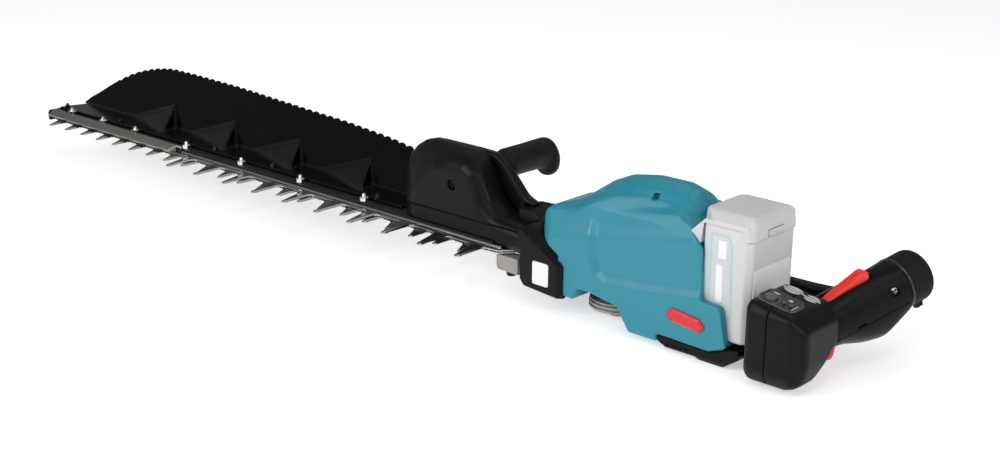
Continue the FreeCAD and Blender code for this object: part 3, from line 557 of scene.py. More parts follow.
def foot_form(X, Y, Z):
    foot = both(area_of(FOOT, X, Z), np.abs(Y) - FOOT_HALF, 2.0)
    foot = bevel(foot, (np.abs(Y) - FOOT_HALF) * 0.86 + (-44 - Z) * 0.5, 0.3)
    slots = both(np.abs((X - 985) % SLOT_PITCH - SLOT_PITCH / 2) - 0.9, slab(X, 966, 1000))
    slots = both(slots, np.maximum(43.8 - np.abs(Y), Z + 41.0))
    foot = cut(foot, slots, 0.3)
    return cut(foot, brick(X, Y, Z, (1030, 1080), (-BAY_HALF, BAY_HALF), (-25.8, 10), 1.0))


solid("foot_pad", (955, 1054, -46, 46, -49, -27), 0.7, foot_form, "frame", "black_plastic", ["foot"])

BOX = corners([
    (1063.5, -36, 9), (1071, -46, 8), (1108, -46, 10), (1123, -36.5, 10), (1128, -19, 14), (1126, 12, 10),
    (1112, 25.5, 7), (1070, 33, 6), (1063.5, 24, 6)], 6)
BOX_PLAN = corners([
    (1063.5, 2), (1063.5, -57, 7), (1071, -66, 9), (1113, -66, 10), (1128, -54, 10), (1128, 2)], 4)
BOX_END = corners([
    (-66, -30, 12), (-57, -46, 10), (-43, -46, 7), (-2, -7.5, 7), (-2, 33), (-58, 33, 8), (-66, 20, 8)], 4)
BOX_SEAM, BOX_END_Y = 1090.0, -2.2
LID_START, LID_FALL = (1070, 33), (42.0, -7.0)


def box_form(X, Y, Z):
    box = both(area_of(BOX, X, Z), area_of(BOX_PLAN, X, Y), 5.0)
    box = both(box, area_of(BOX_END, Y, Z), 4.0)
    return both(box, Y - BOX_END_Y, 2.5)


def lid_coordinates(X, Z):
    """Distance down the sloping lid from its front edge, and height above its surface."""
    slope = math.atan2(LID_FALL[1], LID_FALL[0])
    c, s = math.cos(slope), math.sin(slope)
    x, z = X - LID_START[0], Z - LID_START[1]
    return x * c + z * s, -x * s + z * c


TRAY = corners([
    (-1.0, -46), (3.5, -55.5), (36.5, -55.5), (40, -50), (40, -34), (33, -25.5), (1.5, -25.5),
    (-1.0, -29)], 3)
KEY_AT, KEY_Y, KEY_R, KEY_RING_R = 10.5, -44.0, 6.3, 8.2
LAMPS_AT, LAMP_PITCH, LAMP_R = 29.0, 4, 1.2


def box_half(turn):
    """One shell of the control box: the front one for turn 1, the rear one for -1."""
    def form(X, Y, Z):
        box = box_form(X, Y, Z)
        down, above = lid_coordinates(X, Z)
        tray = both(area_of(TRAY, down, Y), -above - 1.4, 0.3)
        box = cut(cut(box, tray, 0.6), box_form(X, Y, Z) + WALL)
        return both(box, (X - BOX_SEAM) * turn + 0.25, 0.6)
    return form


solid("box_front", (1062, 1092, -67, -1, -47, 34), 0.7, box_half(1), "frame", "black_plastic",
      ["box_front_shell"])
solid("box_rear", (1088, 1129, -67, -1, -47, 34), 0.7, box_half(-1), "frame", "black_plastic",
      ["box_rear_shell"])


def panel_form(X, Y, Z):
    down, above = lid_coordinates(X, Z)
    plate = both(area_of(TRAY, down, Y) + 0.35, slab(above, -2.2, 0.5), 0.6)
    plate = cut(plate, both(area_of(TRAY, down, Y) + 2.4, -above - 0.1, 0.2), 0.4)
    plate = cut(plate, both(tube(down, Y, KEY_AT, KEY_Y, KEY_R), -above - 2.0), 0.4)
    ring = np.abs(tube(down, Y, KEY_AT, KEY_Y, KEY_RING_R)) - 0.35
    plate = join(plate, both(ring, slab(above, -0.8, 0.25)), 0.1)
    for k in (-1, 0, 1):
        lamp = tube(down, Y, LAMPS_AT, KEY_Y + LAMP_PITCH * k, LAMP_R)
        plate = cut(plate, both(lamp, -above - 1.0), 0.2)
    return plate


GLASS = finish("panel_glass", (24, 24, 28), 0.12, 0.0, 1600, 0.02, 0.06, (70, 70, 74), coat=0.5, specular=0.4,
               spread=0.04)
solid("panel", (1067, 1113, -58, -24, 22, 36), 0.5, panel_form, "frame", "panel_grey", ["switch_panel"],
      material=GLASS)
# Plain bars on the lid's panel: place down the lid, Y, and half their size along each.
MARKS = (
    (24.6, -34.5, 2.2, 0.5), (24.6, -32.5, 1.4, 0.5), (34.5, -47.2, 0.5, 1.4), (34.5, -43.2, 0.5, 1.4),
    (34.5, -39.2, 0.5, 1.4), (8.5, -31.0, 3.0, 0.45))


def marks_form(X, Y, Z):
    down, above = lid_coordinates(X, Z)
    shape = FAR_OFF
    for a, y, da, dy in MARKS:
        shape = np.minimum(shape, both(slab(down, a - da, a + da), slab(Y, y - dy, y + dy)))
    return both(shape, slab(above, -0.6, 0.15))


solid("panel_marks", (1074, 1108, -50, -29, 24, 34), 0.3, marks_form, "frame", "label_white")


# ---- battery and labels
CASE_HALF, CAP_HALF, SEAM_Z = 37.4, 38.4, 52
CASE_PLAN = corners([
    (999.6, -32, 2), (1004, -CASE_HALF, 3), (1047, -CASE_HALF, 4), (1053.6, -31.5, 4), (1053.6, 31.5, 4),
    (1047, CASE_HALF, 4), (1004, CASE_HALF, 3), (999.6, 32, 2)], 2)
CASE_SIDE = corners([
    (999.8, 56), (999.8, -12), (1008, -25.2, 3), (1053.6, -25.2, 4), (1053.6, 72.4), (1046, 72.4), (1046, 82),
    (999.8, 82)], 2)
LABEL_REAR = corners([(-31, -1), (29, -1), (29, 45.2), (-31, 45.2)], 3)


def case_form(X, Y, Z):
    case = both(area_of(CASE_PLAN, X, Y), area_of(CASE_SIDE, X, Z), 2.0)
    seam = np.maximum(np.abs(Z - SEAM_Z) - 0.3, -(case + 0.5))
    case = cut(case, np.maximum(seam, 1047 - X), 0.2)
    for y in (-15, -5, 5, 15):
        case = cut(case, brick(X, Y, Z, (990, 1002.1), (y - 1.4, y + 1.4), (-10, 28), 0.3), 0.2)
    bed = both(area_of(LABEL_REAR, Y, Z) - 0.5, 1053.35 - X)
    return cut(case, bed, 0.2)


solid("battery_body", (999, 1055, -39, 39, -26, 83), 0.7, case_form, "battery", "battery_grey",
      ["battery_case"])

CHEEK = corners([
    (1000, 60.5, 1), (985.2, 68.2, 1.2), (1003, 85.5, 3), (1048, 86.0, 5), (1054.6, 80, 4), (1054.6, 68, 2),
    (1047, 67), (1044, 81), (1003, 81)], 1)
COVER = corners([
    (1003, 81), (999.6, 66), (990.5, 70, 2), (989.8, 79, 2), (993.0, 90, 4), (999, 93.8, 5), (1049, 93.8, 5),
    (1054.6, 88, 4), (1054.6, 68, 2), (1046, 68), (1044, 81)], 1)
CHEEK_PLAN = corners([
    (984, -CAP_HALF, 0.6), (1049, -CAP_HALF, 5), (1054.6, -32, 5), (1054.6, 32, 5), (1049, CAP_HALF, 5),
    (984, CAP_HALF, 0.6)], 1)
COVER_PLAN = corners([
    (989, -17, 6), (1012, -CAP_HALF, 6), (1048, -CAP_HALF, 6), (1054.6, -31, 5), (1054.6, 31, 5),
    (1048, CAP_HALF, 6), (1012, CAP_HALF, 6), (989, 17, 6)], 1)


def cap_form(X, Y, Z):
    side = np.abs(Y)
    cheeks = both(area_of(CHEEK, X, Z), area_of(CHEEK_PLAN, X, Y), 1.5)
    cover = both(area_of(COVER, X, Z), area_of(COVER_PLAN, X, Y), 2.5)
    cover = both(cover, (side - 37.5) * 0.66 + (Z - 86.8) * 0.75, 2.0)
    cap = join(cheeks, cover, 1.2)
    finger_room = brick(X, Y, Z, (975, 993.5), (-27, 27), (73.5, 79), 2.2)
    cap = cut(cap, finger_room, 1.0)
    lip = both(np.abs(side - 37.2) - 1.2, both(slab(Z, 83.4, 86.4), slab(X, 1011, 1050)), 0.9)
    cap = join(cap, lip, 0.5)
    latch_room = brick(X, Y, Z, (1047.6, 1062.6), (-12.2, 12.2), (73.8, 80.2), 0.8)
    cap = cut(cap, latch_room, 0.5)
    cap = cut(cap, brick(X, Y, Z, (999.4, 1046.2), (-37.45, 37.45), (40, 82.2)))
    return cut(cap, brick(X, Y, Z, (1040, 1054.0), (-37.9, 37.9), (40, 72.2)))


solid("battery_top", (983, 1056, -40, 40, 56, 95), 0.7, cap_form, "battery", "battery_grey", ["battery_cap"])


def latch_form(X, Y, Z):
    key = brick(X, Y, Z, (1050.8, 1055.8), (-11.6, 11.6), (74.4, 79.6), 1.1)
    grooves = both(ribs_along(Y, 0, 2.4, 0.5), 1055.3 - X)
    return cut(key, both(grooves, np.abs(Y) - 9.5), 0.3)


solid("latch", (1050, 1057, -13, 13, 73, 81), 0.3, latch_form, "battery_latch", "battery_grey",
      ["latch_button"])

STRIP = corners([(1009.5, -2), (1034.5, -7), (1036, 3), (1033.8, 66), (1030, 74.5), (1009.5, 74.5)], 2.5)


def strip_form(X, Y, Z):
    line = np.abs(area_of(STRIP, X, Z) + 1.3) - 1.2
    return both(line, slab(Y, -37.75, -36.9), 0.15)


solid("strip", (1008, 1038, -38.2, -36.4, -10, 76), 0.35, strip_form, "battery", "battery_accent",
      ["battery_strip"])


def strip_bars(X, Y, Z):
    high = both(slab(X, 1018.8, 1027.6), slab(Z, 51.5, 68.5), 0.6)
    low = both(slab(X - (Z - 30) * -0.03, 1017.5, 1025.0), slab(Z, 10, 46), 2.5)
    return both(np.minimum(high, low), slab(Y, -37.7, -37.0), 0.2)


solid("strip_bars", (1015, 1029, -38.1, -36.6, 8, 70), 0.3, strip_bars, "battery", "label_white")


def rear_label(X, Y, Z):
    return both(area_of(LABEL_REAR, Y, Z), slab(X, 1053.0, 1053.75), 0.3)


solid("rear_label", (1052, 1055, -33, 31, -3, 47), 0.4, rear_label, "battery", "label_white",
      ["battery_label"])


def side_label(X, Y, Z):
    return both(area_of(LABEL, X, Z), slab(Y, -51.25, -50.2), 0.25)


solid("side_label", (810, 834, -52, -49, -22, 4), 0.35, side_label, "frame", "label_white", ["blank_labels"])
# The pointed ovals on the lid: place down the lid, Y, and half their length and width.
LENSES = ((13.5, -12.0, 11.0, 6.2), (33.2, -13.0, 8.8, 5.6))


def lens_form(X, Y, Z):
    """Two pointed ovals on the lid, each with two dark bars along it."""
    down, above = lid_coordinates(X, Z)
    shape = FAR_OFF
    for middle, y, long_half, short_half in LENSES:
        radius = (long_half ** 2 + short_half ** 2) / (2 * short_half)
        for side in (-1, 1):
            arc = tube(down, Y, middle, y + side * (radius - short_half), radius)
            lens = arc if side < 0 else np.maximum(lens, arc)
        bars = 0.8 - np.abs(np.abs(Y - y) - 1.9) + 0.35 * (np.abs(down - middle) > long_half * 0.55)
        lens = np.maximum(lens, bars)
        shape = np.minimum(shape, lens)
    return both(shape, slab(above, -0.8, 0.3), 0.15)


PALE = finish("lid_mark", (178, 178, 178), 0.4, 0.0, 1500, 0.04, 0.05, (210, 210, 210))
solid("lid_marks", (1070, 1113, -20, -5, 23, 36), 0.3, lens_form, "frame", "label_white", material=PALE)


# ---- rear grip, its own frame: Y along it, Z up
GRIP_U = Vector((35, 108, 32)).normalized()
GRIP_W = (Vector((0, 0, 1)) - GRIP_U * GRIP_U.z).normalized()
GRIP_V = GRIP_U.cross(GRIP_W)
GRIP_AT = Matrix.Translation((1100, 10, -4)) @ Matrix((GRIP_V, GRIP_U, GRIP_W)).transposed().to_4x4()
# Place along the grip, half width, half height and the middle's height there.
STATIONS = np.array([
    (-30, 23, 22, 2), (-26, 23, 22, 2), (10, 23.5, 24.5, 0.5), (36, 24, 30.5, -5.0), (60, 24, 33.5, -8),
    (80, 25, 28.2, -3.6), (90, 25.2, 25.8, -0.9), (125, 25.2, 25.2, -0.5)], float)
LEVER_PIVOT, TRIGGER_PIVOT, PIN_ROOM_R = (11, 17), (29, -11.5), 2.06
FINGER_HALF, FINGER_ROOM = 6.3, (-7.2, 7.2)
GRIP_SPLIT_Z, GRIP_END, GRIP_SCREW = -8, 88.0, (71, 8)
ROUND_Z, COLLAR_R, CAP_R = -0.5, 25.55, 24.9


def grip_section(X, Y, Z):
    a, b, c = (along(STATIONS, k, Y.ravel())[None, :, None] for k in (1, 2, 3))
    q = np.sqrt((X / a) ** 2 + ((Z - c) / b) ** 2)
    return (q - 1) * np.minimum(a, b) * 0.97


def grip_form(X, Y, Z):
    """Both grip shells together: a thin split, a slit, and room for lever, trigger and screw."""
    grip = both(grip_section(X, Y, Z), Y - GRIP_END, 1.6)
    slit = brick(X, Y, Z, (15, 40), (22, 33), (-6.8, -5.0), 0.8)
    grip = cut(grip, slit, 0.4)
    split = np.abs(Z - GRIP_SPLIT_Z) - 0.2
    grip = cut(grip, np.maximum(split, -(grip + 0.18)), 0.12)
    lever_room = brick(X, Y, Z, FINGER_ROOM, (6.5, 60), (5, 60), 1.2)
    trigger_room = brick(X, Y, Z, FINGER_ROOM, (-12, 15), (-60, -8), 1.2)
    grip = cut(cut(grip, lever_room, 0.8), trigger_room, 0.8)
    screw_room = both(tube(Y, Z, *GRIP_SCREW, 4.4), 19.5 - X, 0.2)
    grip = cut(grip, screw_room, 0.5)
    return cut(grip, both(grip_section(X, Y, Z) + 3.4, Y - 84))


def grip_half(sign):
    """One grip shell, cut off just inside the control box's far face: the lower one for sign 1."""
    def form(X, Y, Z):
        frame_y = carried(GRIP_AT, X, Y, Z)[1]
        grip = both(grip_form(X, Y, Z), -2.6 - frame_y)
        return both(grip, (Z - GRIP_SPLIT_Z) * sign + 0.02)
    return form


solid("grip_upper", (-27, 27, -28, 89, -9, 29), 0.8, grip_half(-1), "frame", "black_plastic",
      ["grip_upper_shell"], GRIP_AT)
solid("grip_lower", (-27, 27, -28, 89, -43, -7), 0.8, grip_half(1), "frame", "black_plastic",
      ["grip_lower_shell"], GRIP_AT)


def ring_form(X, Y, Z):
    band = both(tube(X, Z, 0, ROUND_Z, COLLAR_R), slab(Y, 87.7, 91.2), 1.1)
    return cut(band, tube(X, Z, 0, ROUND_Z, 18))


# The ring's colour is lighter than the grip rubber's: a painted highlight that stands in for the ring's
# sheen. Its lower roughness is real gloss.
RING_SHEEN = finish("ring_painted_sheen", (30, 30, 32), 0.26, 0.0, 1900, 0.05, 0.05, (70, 70, 72))
solid("grip_collar", (-27, 27, 87, 92, -27, 26), 0.6, ring_form, "frame", "grip_rubber", ["grip_ring"],
      GRIP_AT, RING_SHEEN)


TAB_TURN = math.radians(-66)


def cap_end(X, Y, Z):
    r = tube(X, Z, 0, ROUND_Z, 0) - CAP_R
    end = both(r, Y - 120.0 + (X ** 2 + Z ** 2) * 0.0035, 8.5)
    end = both(end, 91.3 - Y, 0.8)
    c, s = math.cos(TAB_TURN), math.sin(TAB_TURN)
    tab = brick(X * c + Z * s, Y, -X * s + Z * c, (20, 29.6), (99, 107.5), (-3.6, 3.6), 1.8)
    end = join(end, tab, 2.0)
    grooves = np.maximum(ribs_along(Y, 92, 5.0, 0.5), slab(Y, 94, 112))
    grooves = np.maximum(grooves, -(r + RIB_DEPTH))
    return cut(end, np.maximum(grooves, Z + 6), 0.25)


solid("grip_end", (-27, 27, 90, 121, -31, 26), 0.7, cap_end, "frame", "grip_rubber", ["grip_end_cap"],
      GRIP_AT)

LEVER = corners([
    (4.6, 12), (4.8, 18.0, 2), (10, 21.8, 4), (24, 25.6, 10), (50, 31.2, 3), (57.2, 30.0, 2), (56.6, 22, 5),
    (46, 15, 3), (40, 12, 1)], 1)


def lever_form(X, Y, Z):
    lever = both(area_of(LEVER, Y, Z), np.abs(X) - FINGER_HALF, 1.3)
    crest = (Z - 22.6 - (Y - 8) * 0.2) * 0.7 + (np.abs(X) - 4.6) * 0.71
    lever = both(lever, crest, 0.8)
    grooves = np.maximum(ribs_along(Y, 40, 3.0, 0.45), -(lever + RIB_DEPTH))
    lever = cut(lever, np.maximum(grooves, np.maximum(slab(Y, 40, 53), 26 - Z)), 0.25)
    return cut(lever, tube(Y, Z, *LEVER_PIVOT, PIN_ROOM_R))


solid("lever", (-7, 7, 2, 59, 10, 32.5), 0.4, lever_form, "lock_lever", "red_plastic", ["lock_lever"],
      GRIP_AT)

TRIGGER = corners([
    (-5, -14, 1), (-6.2, -31, 3), (-1, -35.8, 3.5), (4.4, -33, 4), (8.5, -25, 8), (13, -18, 2), (33, -17),
    (33, -7), (-5, -7)], 1)


def trigger_form(X, Y, Z):
    trigger = both(area_of(TRIGGER, Y, Z), np.abs(X) - FINGER_HALF, 1.8)
    return cut(trigger, tube(Y, Z, *TRIGGER_PIVOT, PIN_ROOM_R))


solid("finger_trigger", (-7, 7, -7, 34, -37, -6), 0.4, trigger_form, "trigger", "red_plastic", ["trigger"],
      GRIP_AT)


SCREW_DEPTH, CROSS_HALF, CROSS_DEPTH = 1.0, 0.55, 1.4


def screw_form(radius, top):
    """A pan head with a cross recess; Z is the height above its seat."""
    arm = radius * 0.62

    def form(X, Y, Z):
        head = both(np.sqrt(X ** 2 + Y ** 2) - radius, Z - top + (X ** 2 + Y ** 2) * 0.02, 0.5)
        head = both(head, -Z - SCREW_DEPTH)
        across, along_it, depth = (-CROSS_HALF, CROSS_HALF), (-arm, arm), (top - CROSS_DEPTH, top + 3)
        cross = join(brick(X, Y, Z, along_it, across, depth), brick(X, Y, Z, across, along_it, depth))
        return cut(head, cross, 0.15)
    return form


def quarter_turn(axis):
    return Matrix.Rotation(math.pi / 2, 4, axis)


solid("grip_screw", (-4, 4, -4, 4, -1.2, 2), 0.25, screw_form(3.6, 1.3), "frame", "zinc_steel",
      ["case_screws"], GRIP_AT @ Matrix.Translation((20.6, *GRIP_SCREW)) @ quarter_turn("Y"))
solid("guard_screw", (-5, 5, -5, 5, -1.2, 2), 0.3, screw_form(4.4, 1.4), "frame", "dark_screw",
      place=Matrix.Translation((GUARD_SCREW[0], -43.8, GUARD_SCREW[1])) @ quarter_turn("X"))


# ---- blades, guide bar, bolts and chip plate
TOOTH_PITCH, LOWER_TEETH = 35.0, 22
LONG_PITCH, LONG_TEETH, LONG_FIRST = 52.5, 10, 274.4
LOWER_TIP, UPPER_TIP, ROOT = -77.0, -93.7, -54.0
TAIL = [
    (768, -53.0, 2), (780, -40, 2), (822, -40), (846, -26), (915, -26), (915, 26), (846, 26), (806, -19),
    (778, -22)]
BLADE_T, LOWER_TOP, UPPER_TOP = 2.1, 1.2, 3.6
BOLTS, BOLT_Y = [0, 70, 140, 245, 350, 455, 560], -41.0
STROKE_ROOM, SLOT_HALF, BOLT_ROOM_R = 9.0, 3.3, 3.1
BAR_UNDER, BAR_TOP = 3.9, 8.5
GROUND_FROM, GROUND_OVER = -50.0, 1.5


def tooth(x, tip, half):
    """A tooth that leans rearward, with rounded roots."""
    return [(x - 14.5, ROOT, 5.0), (x - half, tip + 2.5, 1.5), (x - 1, tip, 1), (x + 1, tip, 1),
            (x + half, tip + 2.5, 1.5), (x + 3.0, ROOT, 5.0)]


def blade_form(outline, top):
    """A toothed strip with ground teeth, slots for the shoulder bolts and a window for the eccentric."""
    points = corners([(-24, -22), (-24, -52.5, 2)] + outline + TAIL, 0.8, 3)

    def form(X, Y, Z):
        plan = area_of(points, X, Y)
        ground = (plan + 2.4) * 0.42 + (Z - top) * 0.91
        cutting = np.clip((GROUND_FROM - Y) / GROUND_OVER, 0, 1)
        plate = np.maximum(plan, slab(Z, top - BLADE_T, top))
        plate = np.maximum(plate, ground * cutting - (1 - cutting) * 2)
        for x in BOLTS:
            past_slot = np.maximum(np.abs(X - x) - STROKE_ROOM, 0)
            plate = np.maximum(plate, SLOT_HALF - np.sqrt(past_slot ** 2 + (Y - BOLT_Y) ** 2))
        return cut(plate, both(slab(X, 852.5, 907.5), slab(Y, -19.2, 19.2)))
    return form


lower_outline = sum((tooth(TOOTH_PITCH * k, LOWER_TIP, 3.4) for k in range(LOWER_TEETH)), [])
upper_outline = sum((tooth(LONG_FIRST + LONG_PITCH * k, UPPER_TIP, 3.8) for k in range(LONG_TEETH)), [])
for name, node, front, top, outline in (("blade_low", "lower_blade", -78, LOWER_TOP, lower_outline),
                                        ("blade_high", "upper_blade", -94, UPPER_TOP, upper_outline)):
    solid(name, (-25, 916, front, 27, top - BLADE_T, top), 0.7, blade_form(outline, top), node, "blade_steel",
          [node])


BEVEL_SEGMENTS, BEVEL_FROM, SHARP_FROM, SHARP_TURNED = 2, math.radians(30), math.radians(35), math.radians(28)


def shaded(ob, sharp):
    """Smooth shading, apart from edges that turn by more than an angle."""
    for polygon in ob.data.polygons:
        polygon.use_smooth = True
    ob.data.set_sharp_from_angle(angle=sharp)


def bevelled(node, width, body, slot):
    """A plain piece's own shape with its arrises broken."""
    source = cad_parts[node]
    ob = bpy.data.objects.new(node + "_fine", source.data.copy())
    bpy.context.collection.objects.link(ob)
    ob.matrix_world = source.matrix_world
    mesh = bmesh.new()
    mesh.from_mesh(ob.data)
    bmesh.ops.remove_doubles(mesh, verts=mesh.verts, dist=1e-6)
    bmesh.ops.dissolve_limit(mesh, angle_limit=math.radians(1.0), verts=mesh.verts, edges=mesh.edges)
    edges = [e for e in mesh.edges if e.is_manifold and e.calc_face_angle(0) > BEVEL_FROM]
    bmesh.ops.bevel(mesh, geom=edges, offset=width * 0.001, segments=BEVEL_SEGMENTS, profile=0.5,
                    affect="EDGES", clamp_overlap=True)
    mesh.to_mesh(ob.data)
    mesh.free()
    shaded(ob, SHARP_FROM)
    dress(ob, body, slot, [node])


for node, width, slot in (("cover_strip", 0.7, "strip_steel"), ("bar_nuts", 0.5, "zinc_steel"),
                          ("drip_stub", 0.6, "black_plastic")):
    bevelled(node, width, "frame", slot)


def bar_form(X, Y, Z):
    """The guide bar: bevelled along the front, holes for the bolts, cut back under the housing."""
    bar = brick(X, Y, Z, (-40, 791.9), (-50, -16), (BAR_UNDER, BAR_TOP), 0.4)
    bar = np.maximum(bar, (Z - BAR_TOP) * 0.64 + (-Y - 46.6) * 0.77)
    bar = cut(bar, brick(X, Y, Z, (755, 800), (-52, -44), (0, 10)))
    for x in BOLTS:
        bar = cut(bar, tube(X, Y, x, BOLT_Y, BOLT_ROOM_R))
    return bar


solid("bar", (-41, 792, -51, -15, 3.8, 8.6), 0.8, bar_form, "frame", "bar_steel", ["guide_bar"])


def bar_edge(X, Y, Z):
    edge = brick(X, Y, Z, (246, 768), (-50.2, -47.2), (3.85, 6.6), 0.5)
    return np.maximum(edge, (Z - 6.7) * 0.64 + (-Y - 48.2) * 0.77)


solid("bar_edge", (245, 769, -51, -46, 3.8, 6.8), 0.5, bar_edge, "frame", "blade_steel")

NOSE_PLAN = corners([
    (-46, -47, 5), (-46, -25, 4), (-42, -17.5, 4), (-36, -16, 2), (-30, -16), (-30, -54, 2),
    (-38, -54, 6)], 1, 6)


def nose_form(X, Y, Z):
    nose = both(area_of(NOSE_PLAN, X, Y), slab(Z, -3.0, 8.0), 1.6)
    nose = cut(nose, brick(X, Y, Z, (-41, 0), (-50.1, -10), (3.88, 9)))
    nose = cut(nose, brick(X, Y, Z, (-34, 0), (-60, -10), (-4, 4.0)))
    return cut(nose, brick(X, Y, Z, (-31, 0), (-60, -50), (0, 9)))


solid("nose", (-47, -29, -55, -15, -3, 8), 0.4, nose_form, "frame", "black_plastic", ["bar_nose"])


TURNED_SIDES, HEXAGON = 24, 1


def turned(profile, at):
    """Points and faces of a shape turned about a vertical axis. A row marked HEXAGON is six-sided."""
    points, faces = [], []
    for r, z, *hexagon in profile:
        for k in range(TURNED_SIDES):
            a = 2 * math.pi * k / TURNED_SIDES
            grow = 1.0
            if hexagon:
                side = math.pi / 3
                grow = math.cos(side / 2) / math.cos((a + side / 2) % side - side / 2)
            points.append((at[0] + r * grow * math.cos(a), at[1] + r * grow * math.sin(a), z))
    for low in range(0, (len(profile) - 1) * TURNED_SIDES, TURNED_SIDES):
        high = low + TURNED_SIDES
        for k in range(TURNED_SIDES):
            n = (k + 1) % TURNED_SIDES
            faces.append((low + k, low + n, high + n, high + k))
    faces.append(tuple(reversed(range(TURNED_SIDES))))
    faces.append(tuple(range(len(points) - TURNED_SIDES, len(points))))
    return points, faces


def row_of(name, profile, places, slot, replaced):
    """The same turned shape at several places, as one piece."""
    points, faces = [], []
    for at in places:
        more, rings = turned(profile, at)
        faces += [tuple(i + len(points) for i in ring) for ring in rings]
        points += more
    ob = mesh_object(name, points, faces)
    shaded(ob, SHARP_TURNED)
    dress(ob, "frame", slot, replaced)


PLATE_SCREWS, PLATE_SCREW_Y = (-28, 93, 287, 394, 570), -30
SCREW_PROFILE = [
    (1.9, 4.0), (1.9, 10.6), (3.9, 10.75), (4.1, 11.1), (3.9, 11.5), (3.1, 11.6, HEXAGON),
    (3.3, 11.9, HEXAGON), (3.3, 14.2, HEXAGON), (2.9, 14.6), (1.6, 14.7), (1.6, 16.4), (1.2, 16.8)]
row_of("plate_bolts", SCREW_PROFILE, [(x, PLATE_SCREW_Y) for x in PLATE_SCREWS], "dark_screw",
       ["plate_screws"])

BOLT_HEAD_R = 5.45
THREAD = [
    (2.5, 14.1), (2.25, 14.3), (2.4, 14.8), (2.15, 15.2), (2.3, 15.7), (2.05, 16.1), (2.15, 16.6),
    (1.8, 17.05)]
BOLT_PROFILE = [
    (2.7, -8.3), (2.95, -7.9), (2.95, 8.5), (BOLT_HEAD_R * 0.96, 8.55, HEXAGON), (BOLT_HEAD_R, 8.9, HEXAGON),
    (BOLT_HEAD_R, 12.2, HEXAGON), (BOLT_HEAD_R * 0.93, 12.75), (4.6, 13.05), (2.8, 13.1), (2.6, 13.3)]
row_of("bolts", BOLT_PROFILE + THREAD, [(x, BOLT_Y) for x in BOLTS], "zinc_steel", ["bar_bolts"])

CRANK, MOTOR = (880, 0), (916, 0)
DISC_PROFILE = [
    (3, -46.5), (3.4, -48.8), (4.2, -49.0), (8.6, -49.0), (9.4, -48.4), (9.8, -42.0), (11, -41.2),
    (17.5, -41.0), (18, -40.2), (20.5, -40.2), (21, -41.0), (25.6, -40.8), (27.4, -40.2), (28.5, -39.2),
    (29.0, -37.8), (28.6, -37.2), (27.2, -36.8), (27.2, -35.6), (28.6, -35.2), (28.9, -34.6), (28.9, -33.4),
    (28.4, -32.9), (26.6, -32.6), (26.6, -31.4), (28.2, -31.0), (28.2, -30.2), (4, -30.1)]
row_of("disc", DISC_PROFILE, [CRANK], "cast_alloy", ["gear_cover"])

WALL_LEAN = math.radians(59.5)
WALL_TOP = [
    (-40, 0), (-38.5, 3), (-34, 8), (-27, 13.5), (-18, 19), (-8, 27), (4, 36.5), (17, 45.5), (30, 53),
    (46, 60.5), (63, 66), (76, 69.5), (89, 72), (102, 74), (115, 75), (155, 75), (246, 73), (375, 67),
    (450, 64), (523, 58.5), (611, 48)]
WALL_FOOT, PLATE_T, PLATE_FLOOR, PLATE_END = (4, 9.7), 2.2, (8.5, 10.7), 611
LOBE_PITCH, LOBE_DEPTH, LOBES_FROM = 12.6, 3.3, 4
GUSSETS = (160, 282, 403, 524)


def gusset(X, up, out):
    """A fin that grows out of the wall towards the rear and ends in a sloping edge."""
    facet = (out - 0.175 * (X + 68) + 0.418 * (up - 9)) * 0.91
    top = ((up - 9) - (X + 68) * 0.374) * 0.936
    rear = (X + 14.5) * 0.865 + (up - 29) * 0.502
    fin = both(both(facet, top, 3.0), rear, 1.5)
    return both(fin, -out - 1.5)


def plate_form(X, Y, Z):
    """A leaning wall with a scalloped edge, on a flat floor. up runs along the wall and out is across it."""
    c, s = math.cos(WALL_LEAN), math.sin(WALL_LEAN)
    y, z = Y - WALL_FOOT[0], Z - WALL_FOOT[1]
    up, out = y * c + z * s, -y * s + z * c
    xs = X.ravel()
    top = smoothed(np.interp(xs, [p[0] for p in WALL_TOP], [p[1] for p in WALL_TOP]), 15)
    slope = np.gradient(top, xs)
    stretch = np.sqrt(1 + slope ** 2)
    arc = np.cumsum(stretch) * (xs[1] - xs[0])
    lobes = LOBE_DEPTH * (np.abs(np.sin(np.pi * arc / LOBE_PITCH)) ** 0.7 - 1.0)
    lobes = lobes * np.clip((xs - LOBES_FROM) / 10, 0, 1)
    edge = ((top + lobes) / stretch).astype(np.float32)[:, None, None]
    lean = (1 / stretch).astype(np.float32)[:, None, None]
    wall = both(np.maximum(slab(out, -PLATE_T, 0.0), -up), up * lean - edge, 0.7)
    wall = both(wall, slab(X, -40, PLATE_END), 0.5)
    floor = brick(X, Y, Z, (-40, PLATE_END), (-34.5, 5.6), PLATE_FLOOR, 0.3)
    floor = both(floor, (Y + 30) * 0.292 - (X + 41) * 0.956, 0.5)
    lip = both(tube(Y, Z, -32.9, 10.2, 1.5), slab(X, -38, PLATE_END), 0.5)
    plate = join(join(wall, floor, 3.0), lip, 0.8)
    for x in GUSSETS:
        plate = join(plate, gusset(X - x, up, out), 4.0)
    for x in PLATE_SCREWS:
        plate = cut(plate, tube(X, Y, x, PLATE_SCREW_Y, 2.1))
    return np.maximum(plate, BAR_TOP + 0.02 - Z)


GLOSS = finish("plate_gloss", (4, 4, 5), 0.2, 0.0, 900, 0.03, 0.1, (20, 20, 22), specular=0.12, spread=0.05)
solid("plate", (-41, 612, -35, 44.2, 8.4, 74.6), 0.9, plate_form, "frame", "black_plastic", ["chip_plate"],
      material=GLOSS)


# ---- gear case, arm, bridge and small parts
CASE = corners([(794, -39.5), (842, -39.5), (852, -35), (934, -35), (934, 35), (838, 35), (794, -12)], 3)


